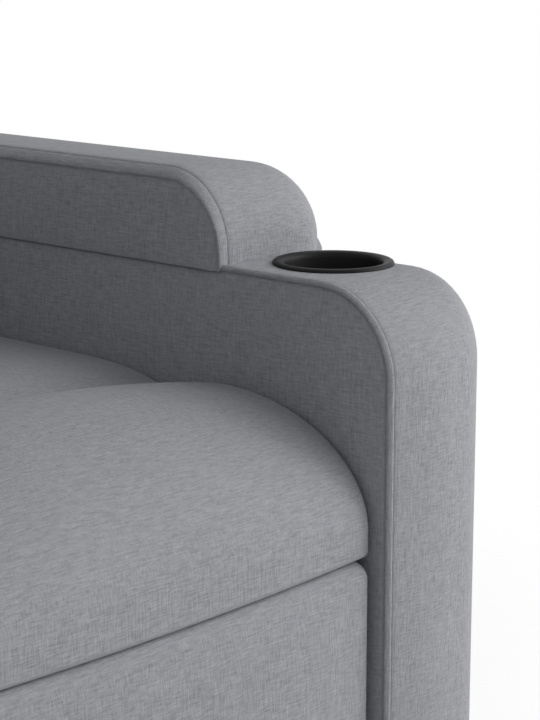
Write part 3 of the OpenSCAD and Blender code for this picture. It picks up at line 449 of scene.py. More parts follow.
class Outline:
    """A loop of axis-aligned sides and round corners in a plane (a, b), run anticlockwise.

    Every corner is (a, b, side of a, side of b, radius). A side of -1 lies at the low end and moves up
    with an inset; +1 moves down. All insets give the same number of points.
    """

    ARC = 15

    def __init__(self, corners, step):
        self.corners = corners
        self.counts = []
        for i, corner in enumerate(corners):
            after = corners[(i + 1) % len(corners)]
            length = abs(after[0] - corner[0]) + abs(after[1] - corner[1])
            self.counts.append(max(2, round(length / step)))

    def fitted(self, moved):
        """The moved corners with their radii, which an inset shortens and each side's length limits."""
        total = len(moved)
        radii = []
        for i in range(total):
            here, before, after = (np.array(moved[k % total][:2]) for k in (i, i - 1, i + 1))
            into, out = np.sign(here - before), np.sign(after - here)
            bends_in = into[0] * out[1] - into[1] * out[0] > 0
            radius = moved[i][2] - moved[i][3] if bends_in else moved[i][2] + moved[i][3]
            radii.append(max(radius, 0.0012))
        for i in range(total):
            k = (i + 1) % total
            room = 0.96 * abs(np.array(moved[i][:2]) - np.array(moved[k][:2])).sum()
            if radii[i] + radii[k] > room:
                radii[i], radii[k] = (r * room / (radii[i] + radii[k]) for r in (radii[i], radii[k]))
        return [(a, b, radius) for (a, b, _, _), radius in zip(moved, radii)]

    def ring(self, insets=(0, 0, 0, 0)):
        """Points of the loop; insets are (low a, high a, low b, high b)."""
        moved = []
        for a, b, side_a, side_b, radius in self.corners:
            da = insets[0] if side_a < 0 else -insets[1]
            db = insets[2] if side_b < 0 else -insets[3]
            inward = (insets[0 if side_a < 0 else 1] + insets[2 if side_b < 0 else 3]) / 2
            moved.append((a + da, b + db, radius, inward))
        total = len(moved)
        moved = self.fitted(moved)
        points, facings = [], []
        for i in range(total):
            here = np.array(moved[i][:2])
            before = np.array(moved[i - 1][:2])
            after = np.array(moved[(i + 1) % total][:2])
            into, out = np.sign(here - before), np.sign(after - here)
            radius = moved[i][2]
            centre = here - radius * into + radius * out
            for phi in np.linspace(0, math.pi / 2, self.ARC):
                points.append(centre + radius * (-out * math.cos(phi) + into * math.sin(phi)))
                heading = into * math.cos(phi) + out * math.sin(phi)
                facings.append((heading[1], -heading[0]))
            start, end = here + radius * out, after - moved[(i + 1) % total][2] * out
            for s in np.linspace(0, 1, self.counts[i] + 1)[1:-1]:
                points.append(start + (end - start) * s)
                facings.append((out[1], -out[0]))
        self.facing = np.array(facings)
        return np.array(points)

    def spread(self, values):
        """One value per point, blended from the values at (low a, high a, low b, high b).

        Low b takes over only at the very end of a corner, so an edge's radius runs on to the foot.
        """
        a, b = self.facing[:, 0], self.facing[:, 1]
        low_a, high_a = np.minimum(a, 0) ** 2, np.maximum(a, 0) ** 2
        low_b, high_b = np.maximum(-b, 0) ** 16, np.maximum(b, 0) ** 2
        shares = (low_a, high_a, low_b, high_b)
        return sum(share * value for share, value in zip(shares, values)) / sum(shares)


def box_outline(low_a, high_a, low_b, high_b, radii, step):
    """A four-sided outline with its corners' radii, anticlockwise from (low a, low b)."""
    corners = (
        (low_a, low_b, -1, -1),
        (high_a, low_b, 1, -1),
        (high_a, high_b, 1, 1),
        (low_a, high_b, -1, 1),
    )
    return Outline([(*corner, radius) for corner, radius in zip(corners, radii)], step)


def tube(name, points, normals, radius, material, body, closed, sides=10):
    """A round cord along points; the normals of the surface under it keep it from twisting."""
    points, normals = np.asarray(points, float), np.asarray(normals, float)
    ahead = np.roll(points, -1, 0) - np.roll(points, 1, 0)
    if not closed:
        ahead[0] = points[1] - points[0]
        ahead[-1] = points[-1] - points[-2]
    ahead /= np.linalg.norm(ahead, axis=1)[:, None]
    up = normals - (normals * ahead).sum(1)[:, None] * ahead
    up /= np.linalg.norm(up, axis=1)[:, None]
    across = np.cross(ahead, up)
    rings = []
    for angle in np.linspace(0, 2 * math.pi, sides, endpoint=False):
        rings.append(points + radius * (math.cos(angle) * across + math.sin(angle) * up))
    rings = np.array(rings).transpose(1, 0, 2)
    if closed:
        rings = np.concatenate([rings, rings[:1]])
    return skin(name, rings, material, body, open_ends=closed)


def surface_of(obj):
    mesh = obj.data
    return BVHTree.FromPolygons([v.co for v in mesh.vertices], [tuple(p.vertices) for p in mesh.polygons])


def laid_on(obj, path):
    """The path moved onto the surface of obj, with the surface's normals."""
    tree = surface_of(obj)
    points, normals = [], []
    for point in path:
        where, normal, _, _ = tree.find_nearest(Vector(point))
        points.append(np.array(where))
        normals.append(np.array(normal))
    return np.array(points), np.array(normals)


def resampled(path, step, closed):
    """The path with even steps."""
    path = np.asarray(path, float)
    if closed:
        path = np.concatenate([path, path[:1]])
    lengths = np.concatenate([[0], np.cumsum(np.linalg.norm(np.diff(path, axis=0), axis=1))])
    count = max(4, int(round(lengths[-1] / step)))
    where = np.linspace(0, lengths[-1], count + 1)
    if closed:
        where = where[:-1]
    return np.stack([np.interp(where, lengths, path[:, k]) for k in range(3)], 1)


def smoothed(values, closed, passes=3):
    values = np.array(values, float)
    for _ in range(passes):
        middle = (np.roll(values, 1, 0) + 2 * values + np.roll(values, -1, 0)) / 4
        if not closed:
            middle[0], middle[-1] = values[0], values[-1]
        values = middle
    return values


def groove(obj, path, width, depth):
    """Sinks the surface along a path, as a seam pulls cloth into its foam."""
    tree = KDTree(len(path))
    for i, point in enumerate(path):
        tree.insert(point, i)
    tree.balance()
    points, facing = coordinates(obj.data), normals_of(obj.data)
    low, high = np.min(path, 0) - 3 * width, np.max(path, 0) + 3 * width
    near = np.where(((points > low) & (points < high)).all(1))[0]
    for i in near:
        gap = tree.find(points[i])[2]
        points[i] -= facing[i] * depth * math.exp(-((gap / width) ** 2))
    set_coordinates(obj.data, points)


def seam(obj, name, path, closed, welt, width, depth, sink):
    """A welted seam on obj: a groove, and a covered cord sunk in it by a share of its radius, welt."""
    path = resampled(path, CORD_STEP, closed)
    line, _ = laid_on(obj, path)
    groove(obj, line, width, depth)
    line, facing = laid_on(obj, line)
    line, facing = smoothed(line, closed), smoothed(facing, closed, 8)
    cord = tube(name, line + (1 - sink) * welt * facing, facing, welt, fabric, obj["body"], closed)
    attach(cord, obj["body"])


# ---------------------------------------------------------------- stuffed pieces


def cad_copy(node, name, body):
    mesh = frame["nodes"][node].data.copy()
    work = bmesh.new()
    work.from_mesh(mesh)
    bmesh.ops.remove_doubles(work, verts=work.verts, dist=0.00002)
    work.to_mesh(mesh)
    work.free()
    obj = add_object(name, mesh, fabric)
    obj["body"] = body
    return obj


class Stuffed:
    """A cushion swollen by simulated cloth; held points stay, and the others move less than cap."""

    def __init__(self, obj, node, cap, fill, held, finer, pressure):
        self.obj, self.node, self.cap, self.fill = obj, node, cap, fill
        self.finer, self.pressure = finer, pressure
        self.start, self.held = coordinates(obj.data), held

    def add_cloth(self):
        """Light cloth that its held points pin, blown up from inside and free of gravity."""
        group = self.obj.vertex_groups.new(name="held")
        group.add([int(i) for i in np.where(self.held)[0]], 1.0, "REPLACE")
        cloth = self.obj.modifiers.new("swell", "CLOTH")
        settings = cloth.settings
        settings.quality = 4
        settings.mass = 0.3
        settings.tension_stiffness = 12
        settings.compression_stiffness = 12
        settings.shear_stiffness = 4
        settings.bending_stiffness = 0.6
        settings.use_pressure = True
        settings.uniform_pressure_force = self.pressure
        settings.effector_weights.gravity = 0
        settings.vertex_group_mass = "held"
        cloth.collision_settings.use_collision = False
        cloth.point_cache.frame_start = 1
        cloth.point_cache.frame_end = SIM_FRAMES

    def settle(self, proud):
        """Keeps the swelling within its cap and near the CAD solid's box."""
        if self.obj.modifiers:
            apply_modifiers(self.obj)
            self.obj.vertex_groups.clear()
            moved = coordinates(self.obj.data) - self.start
            length = np.linalg.norm(moved, axis=1)[:, None]
            limit = self.cap * np.tanh(length / self.cap)
            set_coordinates(self.obj.data, self.start + moved * limit / np.maximum(length, 1e-9))
        if self.finer:
            subdivide(self.obj)
            calm = self.obj.modifiers.new("calm", "SMOOTH")
            calm.factor = 0.5
            calm.iterations = 4
            apply_modifiers(self.obj)
        low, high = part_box(self.node)
        points = np.clip(coordinates(self.obj.data), np.array(low) - proud, np.array(high) + proud)
        set_coordinates(self.obj.data, points)
        finish_soft(self.node)


def finish_soft(node):
    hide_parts(node)


def remeshed(node, name, body, voxel, inset, resting):
    """An even mesh of a CAD solid, drawn in a little except where it rests on something."""
    obj = cad_copy(node, name, body)
    even = obj.modifiers.new("even", "REMESH")
    even.mode = "VOXEL"
    even.voxel_size = voxel
    calm = obj.modifiers.new("calm", "SMOOTH")
    calm.factor = 0.5
    calm.iterations = 5
    apply_modifiers(obj)
    points = coordinates(obj.data)
    held = resting(points)
    set_coordinates(obj.data, points - np.where(held, 0.0, inset)[:, None] * normals_of(obj.data))
    return obj, held


def swell(cushions):
    for cushion in cushions:
        cushion.add_cloth()
    for number in range(1, SIM_FRAMES + 1):
        scene.frame_set(number)


def on_back(points):
    """Points in the back's own directions (x, rearward, up the back), moved to the chair's frame."""
    place = Matrix.Translation(BACK_PIVOT) @ Matrix.Rotation(-BACK_LEAN, 4, "X")
    turn = np.array(place.to_3x3())
    return np.asarray(points, float) @ turn.T + np.array(place.translation)


def rearward(points):
    """How far points lie behind the back's pivot line, along the back's own direction."""
    turn = np.array(Matrix.Rotation(BACK_LEAN, 3, "X"))
    return ((points - np.array(BACK_PIVOT)) @ turn.T)[:, 1]


def against_frame(points):
    """The points of a back cushion that rest on the back's frame."""
    return rearward(points) > COVER_FACE - 0.004


def arc(centre_y, centre_z, reach_y, reach_z, start, end, count):
    """Points of an ellipse between two angles in degrees, 0 forward (-Y) and 90 up."""
    angles = np.radians(np.linspace(start, end, count))
    return [(centre_y - reach_y * math.cos(a), centre_z + reach_z * math.sin(a)) for a in angles]


def seat_section(lift, low, high):
    """Side outline of the seat as (y, z), from its rear top edge forward, with its top raised by lift."""
    top = high.z - SEAT_CROWN + lift
    under = NOSE_UNDER - NOSE_SAG * lift / SEAT_CROWN
    tail_y, tail_z = high.y, SEAT_TAIL_Z
    curl_y = low.y + NOSE_CURL
    loop = arc(SEAT_REAR_Y - 0.024, top - 0.030, -0.024, 0.030, 10, 80, 8)
    for y in np.linspace(SEAT_REAR_Y - 0.032, VALLEY_Y, 44):
        loop.append((y, top - VALLEY_DROP * max(0.0, (HUMP_Y - y) / (HUMP_Y - VALLEY_Y)) ** 3.2))
    for y in np.linspace(VALLEY_Y - 0.003, NOSE_PEAK_Y + 0.003, 16):
        loop.append((y, top - VALLEY_DROP * ((y - NOSE_PEAK_Y) / (VALLEY_Y - NOSE_PEAK_Y)) ** 3))
    loop += arc(NOSE_PEAK_Y, NOSE_LEVEL, NOSE_PEAK_Y - low.y, top - NOSE_LEVEL, 90, 0, 44)
    loop += arc(curl_y, under + NOSE_CURL, NOSE_CURL, NOSE_CURL, -6, -90, 10)
    loop += [(NOSE_BACK_Y - room, under) for room in (0.043, 0.033, 0.023, 0.008)]
    loop += [(NOSE_BACK_Y, (under + low.z) / 2)]
    loop += [(y, low.z) for y in np.linspace(NOSE_BACK_Y + 0.010, tail_y - 0.008, 50)]
    loop += [(tail_y, low.z + 0.008), (tail_y, tail_z - 0.044), (tail_y, tail_z - 0.024)]
    loop += [(tail_y - 0.002, tail_z - 0.010)]
    loop += [(tail_y - 0.012, tail_z), (SEAT_REAR_Y + 0.008, tail_z + 0.008)]
    loop += [(SEAT_REAR_Y, z) for z in np.linspace(tail_z + 0.016, top - 0.032, 6)]
    return np.array(loop)


def drawn_in(loop, by):
    """A closed loop of (y, z) points moved inward by a distance."""
    ahead = np.roll(loop, -1, 0) - np.roll(loop, 1, 0)
    ahead /= np.linalg.norm(ahead, axis=1)[:, None]
    y, z = loop.T
    turn = np.sign((y * np.roll(z, -1) - z * np.roll(y, -1)).sum())
    return loop + by * turn * np.column_stack([-ahead[:, 1], ahead[:, 0]])


def seat_mesh():
    """The seat with its front roll, its valley and its crown, flat against both arms."""
    low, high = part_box("seat_cushion")
    low.y -= SEAT_PROUD
    half = high.x + SEAT_PROUD
    side = seat_section(0.0, low, high)
    end = drawn_in(side, SEAT_EDGE_R)
    centre = end.mean(0)
    rings = []
    for share in (0.05, 0.2, 0.4, 0.6, 0.8, 0.94):
        rings.append(at_x(shrunk(end, centre, share), -half))
    for theta in np.linspace(0, math.pi / 2, 7):
        x = -half + SEAT_EDGE_R * (1 - math.cos(theta))
        rings.append(at_x(drawn_in(side, SEAT_EDGE_R * (1 - math.sin(theta))), x))
    inner = []
    for x in np.linspace(-half + SEAT_EDGE_R, half - SEAT_EDGE_R, 74)[1:-1]:
        lift = SEAT_CROWN * (1 - (x / (half - SEAT_EDGE_R)) ** 2)
        inner.append(at_x(seat_section(lift, low, high), x))
    last = [mirrored(ring, -1) for ring in rings[::-1]]
    obj = skin("seat_cover", rings + inner + last, fabric, "chassis")
    x, y, z = coordinates(obj.data).T
    held = (z < NOSE_UNDER + 0.008) | (abs(x) > half - 0.012) | (y > SEAT_REAR_Y - 0.017)
    return obj, held


def make_stuffed():
    """The seat and the three cushions of the back, with their swelling."""
    seat, held = seat_mesh()
    cushions = {"seat": Stuffed(seat, "seat_cushion", SEAT_CAP, 0.8, held, finer=False, pressure=2.0)}
    for word in ("lumbar", "middle", "head"):
        node = word + "_cushion"
        obj, held = remeshed(node, word + "_cover", "backrest", CUSHION_VOXEL, CUSHION_INSET, against_frame)
        cushions[word] = Stuffed(obj, node, CUSHION_CAP, 0.7, held, finer=True, pressure=4.0)
    swell(cushions.values())
    for cushion in cushions.values():
        cushion.settle(SOFT_PROUD)
    scene.frame_set(1)
    return {name: cushion.obj for name, cushion in cushions.items()}


# ---------------------------------------------------------------- seams of the stuffed pieces

# each cushion's half width, where it begins and ends up the back, and how far forward it stands
BACK_SPANS = {
    "lumbar": (0.240, 0.062, 0.337, 0.125),
    "middle": (0.272, WING_FROM, 0.512, 0.121),
    "head": (0.272, 0.515, BACK_LEN, 0.123),
}
WELT_BEHIND_FACE = 0.048


def add_back_seams(soft):
    """A welt round the edges of each cushion of the back."""
    for name, (half, low_z, high_z, fore) in BACK_SPANS.items():
        loop = box_outline(-half, half, low_z, high_z, (0.02,) * 4, 0.02).ring()
        path = on_back(at_y(loop, WELT_BEHIND_FACE - fore))
        seam(soft[name], name + "_welt", path, closed=True, welt=0.0024, width=0.006, depth=0.004, sink=0.4)


# ---------------------------------------------------------------- arms

ARM_STEP = 0.010
ARM_SINK = 0.006
ARM_SINK_Y = (-0.335, -0.200)
ARM_SINK_BLEND = 0.03
SEAM_REACH = 0.0105
STITCH = 0.0005
PANEL_SHARES = (0.04, 0.15, 0.3, 0.45, 0.6, 0.72, 0.82, 0.9, 0.96)

# inset and depth across the sunk seam where a round edge meets its outer panel
OUTER_SEAM = (
    (0.004, 0.0),
    (0.007, 0.0006),
    (0.0082, 0.0020),
    (0.0094, 0.0020),
    (0.011, 0.0004),
    (0.013, 0.0002),
)


@dataclass
class Boxing:
    """How a boxed cover is sewn. Tuples of four hold the front, the rear, the bottom and the top."""

    reach: tuple  # radii by which the boxing turns into the outer panel
    line_at: float  # from the inner panel to the stitched line
    welt: float  # how far the inner seam's flat welt stands out
    box_puff: tuple  # crown of the boxing
    panel_puff: float  # crown of both panels
    roll: tuple = (0, 0, 0, 0)  # how far the inner panel is drawn in
    roll_depth: float = 0.01  # depth over which the boxing comes out again
    slope: tuple = (0, 0, 0, 0)  # how far a side falls toward the outer panel
    sewn: tuple = (1, 1, 1, 1)  # 0 where a side has no seam


ARM_BOXING = Boxing(
    reach=(ARM_EDGE_R, ARM_REAR_R, ARM_FOOT_R, ARM_SHOULDER_R),
    line_at=0.0048,
    welt=0.0012,
    box_puff=(0.0065, 0.003, 0.0, 0.0004),
    panel_puff=0.0030,
)
PAD_BOXING = Boxing(
    reach=(PAD_EDGE_R, PAD_END_R, PAD_UNDER_R, PAD_SHOULDER_R),
    line_at=0.0100,
    welt=0.0003,
    box_puff=(0.0020, 0.002, 0.0, 0.0),
    panel_puff=0.0020,
    roll=(0, PAD_REAR_ROLL, 0, PAD_TOP_ROLL),
    roll_depth=0.016,
    slope=(0, 0, 0, PAD_TOP_SLOPE),
    sewn=(1, 1, 0, 1),
)


def boxed_rings(low, high, outline, style):
    """Rings of a boxed cover, from the middle of its inner panel to the middle of its outer one.

    The inner panel ends in a seam with a flat welt, then comes the boxing with its stitched line,
    and the boxing turns into the outer panel.
    """
    outline.ring()
    wide = high.x - low.x
    edge = outline.spread(style.reach)
    welt, line_at = style.welt, style.line_at
    rings = []

    def add(inset, depth):
        rolled = max(0.0, 1 - np.max(depth) / style.roll_depth) ** 2
        across = min(1.0, max(0.0, float(np.mean(depth)) / wide))
        crown = math.sin(math.pi * across)
        base = inset if isinstance(inset, tuple) else tuple(inset * s for s in style.sewn)
        moves = zip(base, style.roll, style.box_puff, style.slope)
        four = tuple(b + r * rolled - p * crown + q * across**2 for b, r, p, q in moves)
        rings.append(at_x(outline.ring(four), low.x + depth))

    def panel(inset, x, puff, shares):
        loop = outline.ring(inset)
        centre = (loop.min(0) + loop.max(0)) / 2
        for share in shares:
            rings.append(at_x(shrunk(loop, centre, share), x + puff * (1 - share**5)))

    inner = tuple(SEAM_REACH * s + r for s, r in zip(style.sewn, style.roll))
    panel(inner, low.x, -style.panel_puff, PANEL_SHARES)
    sunk = 0.0014 + welt
    gutter = (
        (SEAM_REACH, 0.0),
        (0.0075, 0.0001),
        (0.0058, 0.2 * sunk),
        (0.0048, 0.7 * sunk),
        (0.0042, sunk),
        (0.0036, 0.6 * sunk),
    )
    band = (
        (0.0028, 0.0008 - welt),
        (0.0016, -welt),
        (0.0003, -welt / 2),
        (-welt / 2, 0.0009),
        (-welt, 0.0022),
        (-welt, line_at - STITCH - 0.0008),
        (0.0, line_at - STITCH),
        (0.0008, line_at),
        (0.0, line_at + STITCH),
        (-0.0004, line_at + STITCH + 0.0010),
    )
    for inset, depth in gutter + band:
        add(inset, depth)
    start = line_at + STITCH + 0.0010
    for share in np.linspace(0.05, 1, 12):
        add(-0.0004 * (1 - share), start + (wide - edge - start) * share)
    for theta in np.linspace(0, math.pi / 2, 14)[1:]:
        add(tuple(r * (1 - math.cos(theta)) for r in style.reach), wide - edge * (1 - math.sin(theta)))
    for extra, sink in OUTER_SEAM if all(style.sewn) else ((0.001, 0.0),):
        last = tuple(r + extra + q for r, q in zip(style.reach, style.slope))
        add(tuple(r + extra for r in style.reach), wide - sink)
    panel(last, high.x - 0.0002, style.panel_puff, PANEL_SHARES[::-1])
    return np.array(rings)


def cut_cup_hole(obj, side):
    """Cuts the round hole for a cup holder's bowl through the top of an arm's cover."""
    low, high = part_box("left_cup_holder")
    cutter_mesh = bpy.data.meshes.new("cutter")
    work = bmesh.new()
    radius = CUP_BORE_R + CUP_HOLE_GAP
    bmesh.ops.create_cone(work, cap_ends=True, segments=72, radius1=radius, radius2=radius, depth=0.2)
    work.to_mesh(cutter_mesh)
    work.free()
    cutter = bpy.data.objects.new("cutter", cutter_mesh)
    cutter.location = (side * (low.x + high.x) / 2, (low.y + high.y) / 2, high.z - 0.02)
    scene.collection.objects.link(cutter)
    bpy.context.view_layer.update()
    cut = obj.modifiers.new("cup", "BOOLEAN")
    cut.operation = "DIFFERENCE"
    cut.solver = "EXACT"
    cut.object = cutter
    apply_modifiers(obj)
    bpy.data.objects.remove(cutter)


def side_outline(low, high, foot_r, rear_r, nose_r):
    return box_outline(low.y, high.y, low.z, high.z, (foot_r, foot_r, rear_r, nose_r), ARM_STEP)


def press_shoulder(obj, high):
    """The pad's outer end presses the arm's round shoulder down a little."""
    points = coordinates(obj.data)
    x, y, z = points.T
    outer = np.clip((abs(x) - high.x + 0.055) / 0.030, 0, 1)
    upper = np.clip((z - high.z + 0.060) / 0.050, 0, 1)
    begins = np.clip((y - ARM_SINK_Y[0]) / ARM_SINK_BLEND, 0, 1)
    ends = np.clip((ARM_SINK_Y[1] - y) / ARM_SINK_BLEND, 0, 1)
    near = begins * ends
    points[:, 2] -= ARM_SINK * outer * upper * near * near * (3 - 2 * near)
    set_coordinates(obj.data, points)


def make_arms():
    low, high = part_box("left_arm_cover")
    outline = side_outline(low, high, ARM_FOOT_R, ARM_REAR_R, ARM_NOSE_R)
    rings = boxed_rings(low, high, outline, ARM_BOXING)
    for side, word in ((1, "left"), (-1, "right")):
        obj = skin(word + "_arm_upholstery", mirrored(rings, side), fabric, "chassis")
        press_shoulder(obj, high)
        cut_cup_hole(obj, side)
        finish_soft(word + "_arm_cover")
        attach(obj, "chassis")


def make_arm_pads():
    low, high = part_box("left_arm_pad")
    low.z -= PAD_SUNK
    outline = side_outline(low, high, PAD_FOOT_R, PAD_REAR_R, PAD_NOSE_R)
    rings = boxed_rings(low, high, outline, PAD_BOXING)
    for side, word in ((1, "left"), (-1, "right")):
        obj = skin(word + "_pad_upholstery", mirrored(rings, side), fabric, "chassis")
        finish_soft(word + "_arm_pad")
        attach(obj, "chassis")


def make_footrest():
    """A boxed pad with a round top edge, crowned on its face."""
    low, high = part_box("footrest_cushion")
    high.z += FOOT_TOP_PROUD
    low.x, high.x = low.x - SEAT_PROUD, high.x + SEAT_PROUD
    radii = (FOOT_LOW_R, FOOT_LOW_R, FOOT_TOP_R, FOOT_TOP_R)
    outline = box_outline(low.x, high.x, low.z, high.z, radii, 0.012)
    centre = np.array([0.0, (low.z + high.z) / 2])
    rings = []

    def add(insets, y, share=1.0):
        rings.append(at_y(shrunk(outline.ring(insets), centre, share), y))

    for share in (0.05, 0.3, 0.6, 0.9, 1.0):
        add((0.003,) * 4, high.y, share)
    add((0.0,) * 4, high.y - 0.004)
    deep = high.y - low.y
    for theta in np.linspace(0, math.pi / 2, 12):
        y = low.y + np.max(FOOT_EDGE_R) * (1 - math.sin(theta)) * 0.9
        add(tuple(r * (1 - math.cos(theta)) for r in FOOT_EDGE_R), min(y, high.y - 0.1 * deep))
    for share in (0.96, 0.9, 0.8, 0.65, 0.5, 0.35, 0.2, 0.05):
        add(FOOT_EDGE_R, low.y - FOOT_FACE_PUFF * (1 - share**4), share)
    obj = skin("footrest_cover", rings, fabric, "footrest")
    points = coordinates(obj.data)
    raised = np.clip((points[:, 2] - centre[1]) / (high.z - centre[1]), 0, 1)
    points[:, 2] -= NOSE_SAG * raised * (1 - (points[:, 0] / high.x) ** 2)
    set_coordinates(obj.data, points)
    finish_soft("footrest_cushion")
    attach(obj, "footrest")


# ---------------------------------------------------------------- cup holders

CUP_BORE_R = 0.043
CUP_HOLE_GAP = 0.0035
CUP_WALL = 0.0024
CUP_RIM_THICK = 0.0040
CUP_TURNS = 96


def make_cup_holders():
    """Moulded bowls with a flat rim, turned from one profile."""
    low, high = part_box("left_cup_holder")
    top, bottom = high.z, low.z
    inner = CUP_BORE_R - 0.0002
    rim = (high.x - low.x) / 2
    under = top - CUP_RIM_THICK
    profile = [
        (0.0004, bottom + CUP_WALL),
        (inner - 0.012, bottom + CUP_WALL),
        (inner - 0.007, bottom + 0.0029),
        (inner - 0.0035, bottom + 0.0045),
        (inner - 0.0018, bottom + 0.0080),
        (inner - 0.0012, bottom + 0.0300),
        (inner - 0.0004, top - 0.0060),
        (inner + 0.0002, top - 0.0032),
        (inner + 0.0012, top - 0.0016),
        (inner + 0.0026, top - 0.0009),
        (rim - 0.0046, top - 0.0002),
        (rim - 0.0024, top - 0.0003),
        (rim - 0.0009, top - 0.0012),
        (rim - 0.0001, top - 0.0026),
        (rim - 0.0002, under + 0.0001),
        (rim - 0.0016, under),
        (CUP_BORE_R + CUP_WALL + 0.0006, under),
        (CUP_BORE_R + CUP_WALL, under - 0.0020),
        (CUP_BORE_R + CUP_WALL, bottom + 0.0040),
        (CUP_BORE_R - 0.0016, bottom),
        (0.0004, bottom),
    ]
    angles = np.linspace(0, 2 * math.pi, CUP_TURNS, endpoint=False)
    for side, word in ((1, "left"), (-1, "right")):
        x, y = side * (low.x + high.x) / 2, (low.y + high.y) / 2
        rings = [
            np.column_stack([x + r * np.cos(angles), y + r * np.sin(angles), np.full(CUP_TURNS, z)])
            for r, z in profile
        ]
        obj = skin(word + "_cup_bowl", rings, cup_black, "chassis")
        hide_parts(word + "_cup_holder")
        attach(obj, "chassis")


# ---------------------------------------------------------------- back cover and panel

COVER_EDGE_R = 0.034
COVER_SIDE_WALL = 0.012
COVER_PUFF = 0.004
PANEL_CORNER_R = 0.006

# inset and depth across the seam round the cover's rear panel
COVER_SEAM = ((0.003, 0.0), (0.0055, 0.0008), (0.0068, 0.0028), (0.0080, 0.0028), (0.0095, 0.0004))


def make_back_cover():
    """The shell round the back's frame, with a seamed rear panel."""
    outline = Outline(
        [
            (-BACK_LOW_HALF, COVER_FROM, -1, -1, 0.010),
            (BACK_LOW_HALF, COVER_FROM, 1, -1, 0.010),
            (BACK_LOW_HALF, WING_FROM, 1, -1, 0.012),
            (BACK_HIGH_HALF, WING_FROM, 1, -1, 0.016),
            (BACK_HIGH_HALF, BACK_LEN, 1, 1, 0.040),
            (-BACK_HIGH_HALF, BACK_LEN, -1, 1, 0.040),
            (-BACK_HIGH_HALF, WING_FROM, -1, -1, 0.016),
            (-BACK_LOW_HALF, WING_FROM, -1, -1, 0.012),
        ],
        0.02,
    )
    centre = np.array([0.0, (COVER_FROM + BACK_LEN) / 2])
    rings = []

    def add(inset, y, share=1.0):
        rings.append(on_back(at_y(shrunk(outline.ring((inset,) * 4), centre, share), y)))

    add(COVER_SIDE_WALL, COVER_REAR - 0.030)
    add(COVER_SIDE_WALL, COVER_FACE + 0.004)
    add(COVER_SIDE_WALL - 0.002, COVER_FACE + 0.001)
    add(0.003, COVER_FACE + 0.0005)
    add(0.0006, COVER_FACE + 0.003)
    for share in np.linspace(0, 1, 6):
        y = COVER_FACE + 0.006 + (COVER_REAR - COVER_EDGE_R - COVER_FACE - 0.006) * share
        add(-0.0015 * math.sin(math.pi * share), y)
    for theta in np.linspace(0, math.pi / 2, 9)[1:]:
        add(COVER_EDGE_R * (1 - math.cos(theta)), COVER_REAR - COVER_EDGE_R * (1 - math.sin(theta)))
    for extra, sink in COVER_SEAM:
        add(COVER_EDGE_R + extra, COVER_REAR - sink)
    for share in (0.97, 0.9, 0.8, 0.66, 0.5, 0.3, 0.1):
        add(COVER_EDGE_R + 0.011, COVER_REAR + COVER_PUFF * (1 - share**4), share)
    obj = skin("back_cover_upholstery", rings, fabric, "backrest")
    finish_soft("back_rear_cover")
    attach(obj, "backrest")


def make_lower_panel():
    """Flat upholstered board behind the seat."""
    low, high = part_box("lower_back_panel")
    outline = box_outline(low.x, high.x, low.z, high.z, (PANEL_CORNER_R,) * 4, 0.02)
    centre = np.array([0.0, (low.z + high.z) / 2])
    thick = high.y - low.y
    # inset, y and share of the loop's size
    profile = [(0.02, low.y, 0.1), (0.02, low.y, 0.6), (0.006, low.y, 1.0), (0.0015, low.y + 0.001, 1.0)]
    profile += [(0.0, low.y + thick * s, 1.0) for s in (0.35, 0.65)]
    profile += [(0.0012, high.y - 0.0012, 1.0), (0.005, high.y, 1.0)]
    profile += [(0.008, high.y + 0.0015 * (1 - s**4), s) for s in (0.97, 0.85, 0.6, 0.3, 0.1)]
    rings = []
    for inset, y, share in profile:
        rings.append(at_y(shrunk(outline.ring((inset,) * 4), centre, share), y))
    obj = skin("lower_panel_upholstery", rings, fabric, "chassis")
    finish_soft("lower_back_panel")
    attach(obj, "chassis")


# ---------------------------------------------------------------- side pockets

POCKET_CELLS = (48, 36)
POCKET_SOFTNESS = 5.0
POCKET_CLOTH = 0.0022
HEM_R = 0.0028
HEM_SUNK = 0.0008


def pocket_point(low, high, u, v):
    """A point of the left pocket's cloth, u along it from front to rear and v up it."""
    sides = max(0.0, 1 - abs(2 * u - 1) ** POCKET_SOFTNESS) ** (1 / POCKET_SOFTNESS)
    bottom = max(0.0, 1 - (1 - v) ** (2 * POCKET_SOFTNESS)) ** (1 / POCKET_SOFTNESS)
    bulge = 0.9 + 0.1 * math.sin(math.pi * u) * math.sin(math.pi * min(1, v * 0.8 + 0.1))
    x = low.x - 0.001 + (high.x - low.x) * sides * bottom * bulge
    y = low.y + (high.y - low.y) * (u + 0.004 * math.sin(math.pi * u) * math.cos(3 * v))
    return x, y, low.z + (high.z - low.z) * v


